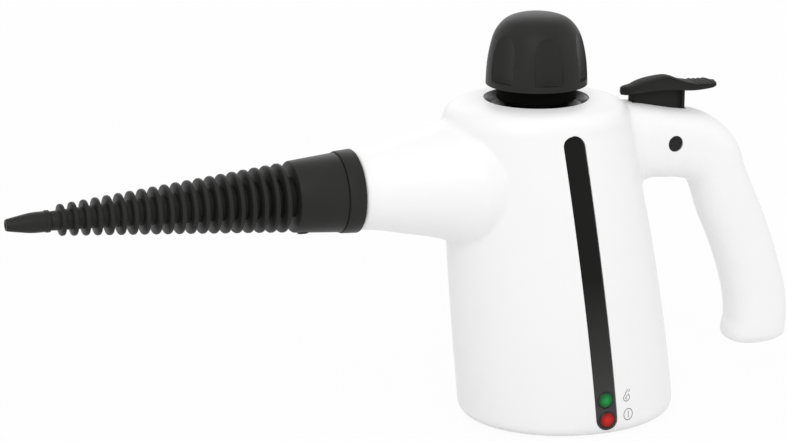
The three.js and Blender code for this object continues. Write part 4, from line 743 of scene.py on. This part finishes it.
inside = bodyForm("hollow", body["wall"], 96, low=4.0)
combine(inside, spoutForm("spoutHollow", body["wall"]), "UNION")
combine(inside, handleForm("handleHollow", body["wall"], sectionsOff=3, sides=40), "UNION")
works = innerWorks()
place, room = lampPlace(lamps["green"]), lamps["room"]
combine(works, boxTool((place.x - room["half"], place.y + room["near"], room["low"]),
                       (place.x + room["half"], place.y + room["far"], room["high"])))
combine(works, skin, "INTERSECT")
combine(outside, inside)
combine(outside, works, "UNION")

# opening, floor, trigger slot, bores, stripe pocket, lamp holes, inlet and screw wells
cuts = [
    upRod(body["openingRadius"], 0, 0, body["openingFoot"], body["above"], 144),
    boxTool((59.1, -4.95, 168.1), (94.2, 4.95, body["above"])),
    crossRod(grip["pinSeat"], *grip["hinge"], -7.9, 7.9, 32),
    crossRod(grip["boltBore"], *grip["bolt"], -60, 60, 64),
    stripeSolid("pocket", 0.14, 1.6, 5, 0, 10, 100, 1),
    loftPiece("floorCut", [plateRing(z, base["gap"]) for z in (-2, 4)]),
]
cuts += [lampHole(height, 0.2) for height in (lamps["green"], lamps["red"])]
hole = inlet["radius"] + 0.2
cuts.append(atInlet(turnPiece("inletCut", [(0, -inlet["depth"]), (hole, -inlet["depth"]), (hole, 3), (0, 3)],
                              48)))
for x, z in shellScrews.values():
    cuts.append(crossRod(screwHole["bore"], x, z, -12.3, 11, 24))
    cuts.append(crossRod(screwHole["well"], x, z, 10, 60))
for x, y in basePosts:
    cuts.append(upRod(screwHole["bore"], x, y, 0, 17.2, 24))
for cut in cuts:
    combine(outside, cut)

for side, near, far in (("Left", -80, -body["seam"]), ("Right", body["seam"], 80)):
    shell = copyPiece(outside, "housing" + side)
    combine(shell, boxTool((-130, near, -5), (180, far, 210)), "INTERSECT")
    finishPiece(shell, whiteAbs, ["housing_" + side.lower()], 40)
bpy.data.objects.remove(outside)

stripePiece = stripeSolid("sideStripe", 0, 0, stripe["thickness"], stripe["round"], 24, 200)
for height in (lamps["green"], lamps["red"]):
    combine(stripePiece, lampHole(height, 0.15))
finishPiece(stripePiece, inlayBlackPaintedReflection, ["side_stripe"], 50)

lensTints = {"green": ("#169447", "#0d642c", "#072a14"), "red": ("#c9231a", "#9c1210", "#3c0808")}
for key, tints in lensTints.items():
    title, r, deep, outer = key.title(), lamps["lensRadius"], lamps["depth"], lamps["radius"]
    dome = [(r * cos(a), 0.15 + 0.8 * sin(a)) for a in (0.25, 0.55, 0.85, 1.15, 1.4)]
    dome = [(0, -deep), (r, -deep), (r, 0.15)] + dome + [(0, 0.95)]
    lens = atLamp(turnPiece("lens" + title, dome, 64), lamps[key])
    glow = toFrame @ lampPlace(lamps[key])
    finishPiece(lens, lensMaterial("tinted" + title + "Polycarbonate", *tints, glow),
                ["lamp_" + key], 60)
    profile = [(r + 0.05, -deep), (outer, -deep), (outer, 0.1), (outer - 0.15, 0.3), (r + 0.15, 0.35),
               (r + 0.05, 0.2)]
    bezel = atLamp(turnPiece("bezel" + title, profile, 64), lamps[key])
    finishPiece(bezel, glossBlack, (), 40)

grommet = turnPiece("cordInlet", [
    (inlet["bore"], -inlet["depth"]), (inlet["radius"], -inlet["depth"]), (inlet["radius"], 0.45),
    (inlet["lipRadius"], 0.45), (inlet["lipRadius"] - 0.15, 1.1), (inlet["lipRadius"] - 0.9, inlet["lip"]),
    (inlet["bore"] + 0.7, inlet["lip"]), (inlet["bore"], 0.9)], 64)
finishPiece(atInlet(grommet), rubber, ["cord_inlet"], 40)

# base plate with its feet
plate = loftPiece("basePlate", [plateRing(z) for z in (base["low"], base["high"])])
for x, y in basePosts:
    combine(plate, upRod(screwHole["bore"], x, y, 0, 5, 24))
    combine(plate, upRod(base["headSeat"], x, y, 0, 2.45, 32))
for x, y in footPlaces:
    combine(plate, upRod(base["footSeat"], x, y, 0, 2.0))
applyModifier(plate, "BEVEL", width=base["round"], segments=2, limit_method="ANGLE",
              angle_limit=radians(60))
finishPiece(plate, blackPlastic, ["base_plate"], 35)
footProfile = [(0, 0), (4.9, 0), (5.5, 0.12), (5.9, 0.5), (6, 0.9), (6, 1.7), (0, 1.7)]
firstFoot = turnPiece("foot", footProfile, 48)
for i in range(4):
    foot = copyPiece(firstFoot, f"foot{i + 1}")
    low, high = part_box(f"foot_{i + 1}")
    moveMesh(foot, Matrix.Translation(((low.x + high.x) / 2 / mm - fillerX, (low.y + high.y) / 2 / mm, 0)))
    finishPiece(foot, rubber, [f"foot_{i + 1}"], 40)
bpy.data.objects.remove(firstFoot)


# screws that can be seen

def crossScrew(name, radius, headRadius, headHeight, reach):
    # points up from height 0 at the underside of its head
    profile = [(0, -headHeight), (headRadius * 0.55, -headHeight), (headRadius * 0.85, -headHeight * 0.86),
               (headRadius, -headHeight * 0.5), (headRadius, 0), (radius, 0), (radius, reach - radius),
               (0, reach)]
    piece = turnPiece(name, profile, 36)
    arm, half = headRadius * 0.55, radius * 0.22  # of the cross in the head
    for a, b in ((arm, half), (half, arm)):
        combine(piece, boxTool((-a, -b, -headHeight - 1), (a, b, -headHeight * 0.45)))
    return piece


print("screws")
intoShell = Matrix.Rotation(pi / 2, 4, "X")
shellSet = {name: Matrix.Translation((x, 10.3, z)) @ intoShell for name, (x, z) in shellScrews.items()}
baseSet = {str(i + 1): Matrix.Translation((x, y, 2.3)) for i, (x, y) in enumerate(basePosts)}
for kind, headHeight, reach, places in (("shell", 2.0, 22.0, shellSet), ("base", 1.1, 11.9, baseSet)):
    first = crossScrew(kind + "Screw", 1.5, 3.0, headHeight, reach)
    for name, place in places.items():
        piece = copyPiece(first, kind + "Screw" + ("_" if kind == "shell" else "") + name)
        moveMesh(piece, place)
        finishPiece(piece, zincSteel, [f"{kind}_screw_{name}"], 35)
    bpy.data.objects.remove(first)


# cap, plug, neck and dish

print("cap and filler")
cap = {
    "bottom": 198.1, "height": 41.0, "radius": 29.1, "wall": 5.4, "hubRadius": 17.0, "hubFoot": 193.1,
    "socketRadius": 10.3, "socketTop": 205.1, "below": 190, "screwSpread": 13.6, "screwBore": 1.6,
    "screwHead": 2.6, "screwTop": 202.1, "voxel": 0.43, "smoothing": 1,
    "scallops": 6, "scallopRadius": 20.0, "scallopDepth": 3.6, "ledge": 3.6, "firstScallop": -99.5,
    "scallopLean": 3.7, "scallopReach": 55, "archRadius": 8.2, "archMiddle": 219.9, "archInner": 12,
    "archOuter": 42,
}
domeLine = smoothTable([
    (1, 0), (0.993, 0.15), (0.975, 0.31), (0.938, 0.48), (0.873, 0.655), (0.818, 0.745), (0.738, 0.828),
    (0.612, 0.91), (0.43, 0.965), (0.215, 0.992), (0, 1),
])
bottom, height, radius, wall = (cap[key] for key in ("bottom", "height", "radius", "wall"))
dome = [(max(x, 0) * radius, bottom + min(z, 1) * height) for x, z in domeLine]
knob = turnPiece("capKnob", [(0, bottom)] + dome, 168)
distance = radius - cap["scallopDepth"] + cap["scallopRadius"]
lean = radians(cap["scallopLean"])
foot, half = bottom + cap["ledge"], cap["archRadius"]
low, high = (cap["archInner"], 0, cap["archMiddle"]), (cap["archOuter"], 0, cap["archMiddle"])
for i in range(cap["scallops"]):
    arch = rodTool(half, low, high, 64)
    combine(arch, boxTool((low[0], -half, foot), (high[0], half, high[2])), "UNION")
    start, up = Vector((distance, 0, foot - 3)), Vector((-sin(lean), 0, cos(lean)))
    combine(arch, rodTool(cap["scallopRadius"], start, start + up * cap["scallopReach"], 160), "INTERSECT")
    turn = radians(cap["firstScallop"]) + fullTurn * i / cap["scallops"]
    moveMesh(arch, Matrix.Rotation(turn, 4, "Z"))
    combine(knob, arch)
meltEdges(knob, cap["voxel"], cap["smoothing"])
hollow = [(0, bottom - 2)]
hollow += [(x * radius - wall, bottom - (2 if i == 0 else 0) + z * height - wall * z)
           for i, (x, z) in enumerate(domeLine) if x * radius - wall > cap["hubRadius"]]
roof = hollow[-1][1]
combine(knob, turnPiece("capHollow", hollow + [(0, roof)], 96))
combine(knob, upRod(cap["hubRadius"], 0, 0, cap["hubFoot"], roof + 2, 96), "UNION")
combine(knob, upRod(cap["socketRadius"], 0, 0, cap["below"], cap["socketTop"], 64))
for side in (-1, 1):
    combine(knob, upRod(cap["screwBore"], 0, side * cap["screwSpread"], cap["below"], cap["screwTop"], 24))
finishPiece(knob, blackPlastic, ["cap_knob"], 40, "cap")

plugProfile = [
    (4.2, 204.8), (4.2, 189.8), (2.4, 189.8), (2.4, 179.2), (11.0, 179.2), (11.6, 179.9), (11.6, 189.8),
    (22.4, 189.8), (22.8, 190.2), (22.8, 199.6), (22.4, 200), (18, 200), (17.6, 192.8), (10, 192.8),
    (10, 204.4), (9.6, 204.8),
]
plug = turnPiece("capPlug", plugProfile, 96)
for side in (-1, 1):
    combine(plug, upRod(cap["screwBore"], 0, side * cap["screwSpread"], 189, 194, 24))
    combine(plug, upRod(cap["screwHead"], 0, side * cap["screwSpread"], 189, 191.7, 32))
finishPiece(plug, paintedShadeBlack, ["cap_plug"], 35, "cap")

dishProfile = [
    (14.8, 176.4), (29.9, 176.4), (29.9, 189.2), (29.75, 189.4), (29.55, 189.4), (29.35, 189.2),
    (28.6, 188.1), (27.2, 186.2), (26.9, 185.4), (26.4, 185.0), (25.0, 183.8), (22.6, 180.0), (21.4, 178.8),
    (20.2, 178.4), (14.8, 178.4),
]
finishPiece(turnPiece("fillerDish", dishProfile, 144), dishPaintedShadeAndLight, ["filler_dish"], 30)
neckProfile = [
    (12.2, 122.5), (14.5, 122.5), (14.5, 128.3), (17.5, 128.3), (17.5, 133.3), (14.5, 133.3),
    (14.5, 171.1), (17.5, 173.6), (17.5, 176.1), (14.5, 176.1), (14.5, 182.8), (18, 185.2), (18, 187.2),
    (17.6, 187.6), (12.6, 187.6), (12.2, 187.2),
]
finishPiece(turnPiece("fillerNeck", neckProfile, 96), paintedShadeBlack, ["filler_neck"], 30)
sealProfile = [(11.9, 187.9), (17.6, 187.9), (18, 188.3), (18, 189.1), (17.6, 189.5), (11.9, 189.5)]
finishPiece(turnPiece("capSeal", sealProfile, 96), rubber, ["cap_seal"], 30, "seal_ring")


# spout ring and nozzle

print("ring and nozzle")
ring = {"rear": 112.5, "front": 122.1, "rearRadius": 23.7, "frontRadius": 23.2, "bore": 19.0,
        "sleeve": 18.4, "sleeveRear": 103.5, "inner": 16.2, "step": 114.7,
        "dent": ((-24.5, -0.45, 120.3), (-22.6, 0.45, 123))}  # the mark on its front edge
rearRadius, frontRadius, rear, front = (ring[key] for key in ("rearRadius", "frontRadius", "rear", "front"))
ringProfile = [
    (ring["inner"], ring["sleeveRear"]), (ring["sleeve"], ring["sleeveRear"]), (ring["sleeve"], rear),
    (rearRadius - 0.5, rear), (rearRadius - 0.12, rear + 0.15), (rearRadius, rear + 0.6),
    (frontRadius, front - 0.9), (frontRadius - 0.2, front - 0.3), (frontRadius - 0.7, front),
    (ring["bore"] + 0.4, front), (ring["bore"], front - 0.4), (ring["bore"], ring["step"]),
    (ring["inner"], ring["step"]),
]
spoutRing = turnPiece("spoutRing", ringProfile, 160)
dent = boxTool(*ring["dent"])
combine(spoutRing, moveMesh(dent, Matrix.Rotation(-pi / 2 + fullTurn / 32, 4, "Z")))
finishPiece(alongSpout(spoutRing), blackPlastic, ["spout_ring"], 35)

nozzle = {
    "coneFront": 149.8, "end": 286.8, "ribs": 20, "pitch": 6.55, "thickness": 2.9,
    "largeRadius": 19.3, "smallRadius": 8.7, "coreLarge": 11.2, "coreSmall": 5.3,
}


def coreRadius(distance):
    share = (distance - nozzle["coneFront"]) / (nozzle["end"] - nozzle["coneFront"])
    return between(nozzle["coreLarge"], nozzle["coreSmall"], share)


profile = [
    (16.5, 115.0), (18.3, 115.0), (18.3, 122.4), (21.9, 122.4), (22.3, 122.6), (22.4, 123.0),
    (20.15, 148.9), (19.9, 149.5), (19.3, 149.8), (nozzle["coreLarge"], 149.8),
]
for i in range(nozzle["ribs"]):
    middle = nozzle["coneFront"] + nozzle["pitch"] * (i + 1) - nozzle["thickness"] * 0.1
    radius = between(nozzle["largeRadius"], nozzle["smallRadius"], i / (nozzle["ribs"] - 1))
    half = nozzle["thickness"] / 2
    for side in (-1, 1):
        rows = [(coreRadius(middle + side * half), half + 0.15), (radius - 1.0, half - 0.1),
                (radius - 0.35, half - 0.32), (radius, half - 0.85)]
        for r, h in rows if side < 0 else rows[::-1]:
            profile.append((r, middle + side * h))
profile += [
    (5.3, 286.2), (5.0, 286.8), (4.2, 286.8), (4.2, 278.5), (2.6, 278.5), (2.6, 136.5), (6.25, 136.5),
    (6.25, 131.1), (8.05, 131.1), (8.05, 124.0), (10.45, 124.0), (10.45, 148.0), (16.5, 148.0),
]
nozzleBody = alongSpout(turnPiece("nozzleBody", profile, 112))
button = {"distance": 143.9, "radius": 3.2, "surface": 20.52, "proud": 0.7, "turn": -13,
          "holeLow": -23, "holeHigh": -15}
buttonTurn = (Matrix.Translation((-button["distance"], 0, spout["height"]))
              @ Matrix.Rotation(radians(button["turn"]), 4, "X"))
hole = moveMesh(upRod(button["radius"] + 0.2, 0, 0, button["holeLow"], button["holeHigh"]), buttonTurn)
combine(nozzleBody, hole)
finishPiece(nozzleBody, blackPlastic, ["nozzle_body"], 28, "nozzle")

jet = {"tip": 311.2, "length": 21.5, "rearRadius": 5.7, "tipRadius": 3.25}
jetProfile = [(1.4, 279.1), (3.9, 279.1), (3.9, 287.1), (5.8, 287.1), (6.1, 287.4), (6.1, 289.4),
              (5.85, 289.7)]
for away, share in smoothTable([(0, 0), (0.32, 0.5), (0.68, 0.96), (1, 1)])[:0:-1]:
    jetProfile.append((between(jet["tipRadius"], jet["rearRadius"], share),
                       jet["tip"] - jet["length"] * away))
jetProfile += [(3.05, jet["tip"]), (1.7, jet["tip"]), (1.4, jet["tip"] - 0.4)]
jetPiece = alongSpout(turnPiece("nozzleJet", jetProfile, 72))
finishPiece(jetPiece, blackPlastic, ["nozzle_jet"], 35, "nozzle")

catchProfile = [(0, 0), (2.3, 0), (2.9, 0.15), (3.2, 0.6), (3.2, 5.4), (3.8, 5.4), (3.8, 6.6), (0, 6.6)]
catch = turnPiece("nozzleButton", catchProfile, 48)
moveMesh(catch, buttonTurn @ Matrix.Translation((0, 0, -button["surface"] - button["proud"])))
finishPiece(catch, blackPlastic, ["nozzle_button"], 35, "nozzle_latch")


# trigger and lock bolt

print("trigger")
lever = {
    "front": 54.0, "length": 60.3, "base": 188.3, "rise": 7.7, "halfWidth": 10.3, "sections": 170,
    "crowding": 0.25,  # how much closer the sections lie towards both ends
    "nose": (9.0, 0.62), "tail": (6.5, 0.5), "tipHalf": 1.2,  # reach and power of the round ends
    "stemFront": 59.8, "stemRear": 93.4, "stemHalf": 4.6, "stemLow": 170.0, "stemRound": 3.0,
    "grooveFar": 5.4, "grooveNear": 2.2, "grooveLow": 172.5, "grooveDepth": 1.4,
    "armLow": (59.8, -3, 154.5), "armHigh": (65.8, 3, 171), "springSeat": (3.45, 71, 0, 169, 171),
    "ridges": 4, "ridgeStart": 100.6, "ridgePitch": 3.05, "ridgeHeight": 0.55, "ridgePower": 0.8,
    "rimWidth": 3.6, "rimDrop": 0.3, "footRound": 0.5, "sidePower": 1.7, "sideSteps": 8,
}
# the paddle's upper edge, its crown over that in mm, its lower edge and the dip under its nose
topCurve = smoothTable([
    (0, 0.27), (0.034, 0.22), (0.06, 0.25), (0.108, 0.33), (0.15, 0.47), (0.193, 0.61), (0.279, 0.79),
    (0.356, 0.885), (0.42, 0.93), (0.47, 0.92), (0.53, 0.82), (0.6, 0.62), (0.68, 0.45), (0.797, 0.28),
    (0.88, 0.24), (0.94, 0.235), (1, 0.27),
])
crownLine = [
    (0, 0.5), (0.034, 1.7), (0.108, 1.6), (0.17, 1.0), (0.3, 0.75), (0.38, 0.8), (0.45, 0.95), (0.5, 0.9),
    (0.6, 0.6), (0.7, 0.4), (0.9, 0.4), (1, 0.6),
]
lowCurve = smoothTable([
    (0, -0.17), (0.034, -0.07), (0.06, 0), (0.13, 0.08), (0.195, 0.125), (0.355, 0.15), (0.5, 0.08),
    (0.594, 0), (0.72, -0.065), (0.86, -0.01), (0.945, 0.08), (1, 0.14),
])
dipLine = [(0, 0.2), (0.034, 1.0), (0.08, 1.2), (0.13, 0)]
widthCurve = smoothTable([
    (0, 5.0), (0.03, 5.6), (0.1, 6.2), (0.25, 6.0), (0.4, 5.6), (0.55, 6.2), (0.69, 7.5), (0.79, 8.5),
    (0.95, 8.6), (1, 6.4),
])
# the rim of the flat top: in from its edge, share of the crown and lift, both in mm
rimLine = [(2.2, 0.7, 0), (1.8, 0.58, 0), (0.95, 0, 0), (0.6, 0, 0.05), (0.2, 0, 0.1)]


def paddleRing(way):
    x = lever["front"] + lever["length"] * way
    top, low = (lever["base"] + lever["rise"] * valueOn(curve, way) for curve in (topCurve, lowCurve))
    crown, dip = valueOn(crownLine, way), valueOn(dipLine, way)
    phase = (x - lever["ridgeStart"]) / lever["ridgePitch"]
    if 0 < phase < lever["ridges"]:
        top += lever["ridgeHeight"] * max(sin(pi * (phase % 1)), 0) ** lever["ridgePower"]
    wide = lever["halfWidth"]
    for away, (reach, power) in ((x - lever["front"], lever["nose"]),
                                 (lever["front"] + lever["length"] - x, lever["tail"])):
        if away < reach:
            wide = max(wide * max(1 - (1 - away / reach) ** 2, 0) ** power, lever["tipHalf"])
    drop, foot, steps = lever["rimDrop"], lever["footRound"], lever["sideSteps"]
    flat = min(valueOn(widthCurve, way), wide - drop)
    rim = min(flat / lever["rimWidth"], 1)
    half = [(0, top + crown), (flat * 0.35, top + crown * 0.96)]
    half += [(flat - inward * rim, top + crown * share + lift) for inward, share, lift in rimLine]
    half += [(flat + 0.05, top - 0.05), (flat, top - drop)]
    for t in (k / steps for k in range(1, steps)):
        half.append((flat + (wide - flat) * t ** lever["sidePower"],
                     top - drop + (low + foot - top + drop) * t))
    half += [(wide, low + foot), (wide - foot * 0.3, low + foot * 0.3), (wide - foot, low),
             (wide * 0.7, low - dip * 0.7), (0, low - dip)]
    return [(x, y, z) for y, z in half] + [(x, -y, z) for y, z in half[-2:0:-1]]


steps = lever["sections"]
paddle = loftPiece("trigger", [paddleRing(crowded(i / steps, lever["crowding"])) for i in range(steps + 1)])


def stemRing(z):
    front, rear, wide, r = (lever[key] for key in ("stemFront", "stemRear", "stemHalf", "stemRound"))
    line = [(rear, -wide + 0.5), (rear - 0.5, -wide)]
    line += [(front + r - r * sin(a), -wide + r - r * cos(a)) for a in (pi * k / 16 for k in range(9))]
    return [(x, y, z) for x, y in line] + [(x, -y, z) for x, y in line[::-1]]


stem = loftPiece("stem", [stemRing(lever["stemLow"]), stemRing(lever["base"] + 1.6)])
wide, rear = lever["stemHalf"], lever["stemRear"]
for side in (-1, 1):
    near, far = sorted((side * (wide - lever["grooveDepth"]), side * (wide + 1)))
    combine(stem, boxTool((rear - lever["grooveFar"], near, lever["grooveLow"]),
                          (rear - lever["grooveNear"], far, lever["base"] + 1)))
combine(paddle, stem, "UNION")
combine(paddle, boxTool(lever["armLow"], lever["armHigh"]), "UNION")
combine(paddle, crossRod(grip["pinBore"], *grip["hinge"], -12, 12, 32))
combine(paddle, upRod(*lever["springSeat"], 32))
finishPiece(paddle, leverBlack, ["trigger"], 28, "trigger_lever")

boltProfile = [(0, -15.3), (2.9, -15.3), (3.4, -15.6), (3.8, -15.88), (4.2, -15.8), (4.5, -15.4),
               (4.5, 19.4), (4.2, 19.8), (3.8, 19.88), (3.4, 19.6), (2.9, 19.3), (0, 19.3)]
bolt = turnPiece("lockButton", boltProfile, 72)
boltX, boltZ = grip["bolt"]
moveMesh(bolt, Matrix.Translation((boltX, 0, boltZ)) @ Matrix.Rotation(-pi / 2, 4, "X"))
finishPiece(bolt, speckledBlack, ["lock_button"], 40, "lock_bolt")


# the two small icons printed beside the lamps

print("icons")
icons = {"lineWidth": 0.42, "height": 0.07, "lift": 0.02, "sides": 8, "steam": (34.2, 23.1),
         "bar": (35.4, 11.8), "ring": (3.0, 3.35), "barTop": 2.0, "barStep": 0.4}


def onBody(x, z):
    length, width = bodyHalf(z)
    share = (x - bodyMiddle(z)) / length
    place = Vector((x, -width * sqrt(1 - share * share), z))
    return place, Vector(((x - bodyMiddle(z)) / length ** 2, place.y / width ** 2, 0)).normalized()


def inkStroke(name, points):
    rings = []
    places = [onBody(x, z) for x, z in points]
    for i, (place, normal) in enumerate(places):
        along = (places[min(i + 1, len(places) - 1)][0] - places[max(i - 1, 0)][0]).normalized()
        across = along.cross(normal).normalized()
        rings.append([place + across * (cos(angle) * icons["lineWidth"] / 2)
                      + normal * (sin(angle) * icons["height"] + icons["lift"])
                      for angle in (fullTurn * k / icons["sides"] for k in range(icons["sides"]))])
    return loftPiece(name, rings)


def drawn(middle, points):
    return [(middle[0] + x, middle[1] + z) for x, z in smoothTable(points)]


steam = icons["steam"]
steamStrokes = [
    drawn(steam, [(-0.2, -3.3), (-1.7, -2.4), (-2.2, -0.9), (-1.5, 0.4), (-0.7, 1.5), (-0.6, 2.4)]),
    drawn(steam, [(-0.2, -3.3), (1.4, -2.6), (2.1, -1.2), (1.6, 0.2), (1.0, 1.0)]),
    drawn(steam, [(0, -2.1), (-0.7, -1.2), (0, -0.3), (0.5, 0.5)]),
    drawn(steam, [(-0.2, 2.2), (0.4, 3.2), (0.1, 3.9)]), drawn(steam, [(1.3, 2.0), (1.9, 2.9), (1.6, 3.6)]),
]
bar = icons["bar"]
wide, high = icons["ring"]
barStrokes = [
    [(bar[0] + wide * cos(fullTurn * i / 40), bar[1] + high * sin(fullTurn * i / 40)) for i in range(41)],
    [(bar[0], bar[1] + icons["barTop"] - icons["barStep"] * i) for i in range(11)],
]
for name, strokes in (("steam", steamStrokes), ("bar", barStrokes)):
    pieces = [inkStroke(f"{name}Stroke{i}", stroke) for i, stroke in enumerate(strokes)]
    pick(pieces[0])
    for piece in pieces[1:]:
        piece.select_set(True)
    bpy.ops.object.join()
    pieces[0].name = name + "Icon"
    finishPiece(pieces[0], greyInk)


# the solids inside keep their shape and get their finishes

print("inside")
finishes = {
    zincSteel: ["boiler_screw_1", "boiler_screw_2", "boiler_screw_3", "boiler_screw_4", "heater_element",
                "thermostat", "valve_plunger", "valve_spring", "trigger_spring", "trigger_pin",
                "relief_spring", "cap_screw_1", "cap_screw_2"], aluminium: ["boiler_lower", "boiler_upper"],
    brass: ["steam_valve", "steam_outlet", "boiler_pipe", "relief_valve"],
    silicone: ["boiler_gasket", "nozzle_seal"], hose: ["outlet_pipe", "mains_wire_2"],
    rubber: ["mains_wire_1"], boardGreen: ["lamp_board"], nylon: ["terminal_block", "thermal_fuse"],
}
for material, nodes in finishes.items():
    for node in nodes:
        dress(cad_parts[node], material)

print("done")
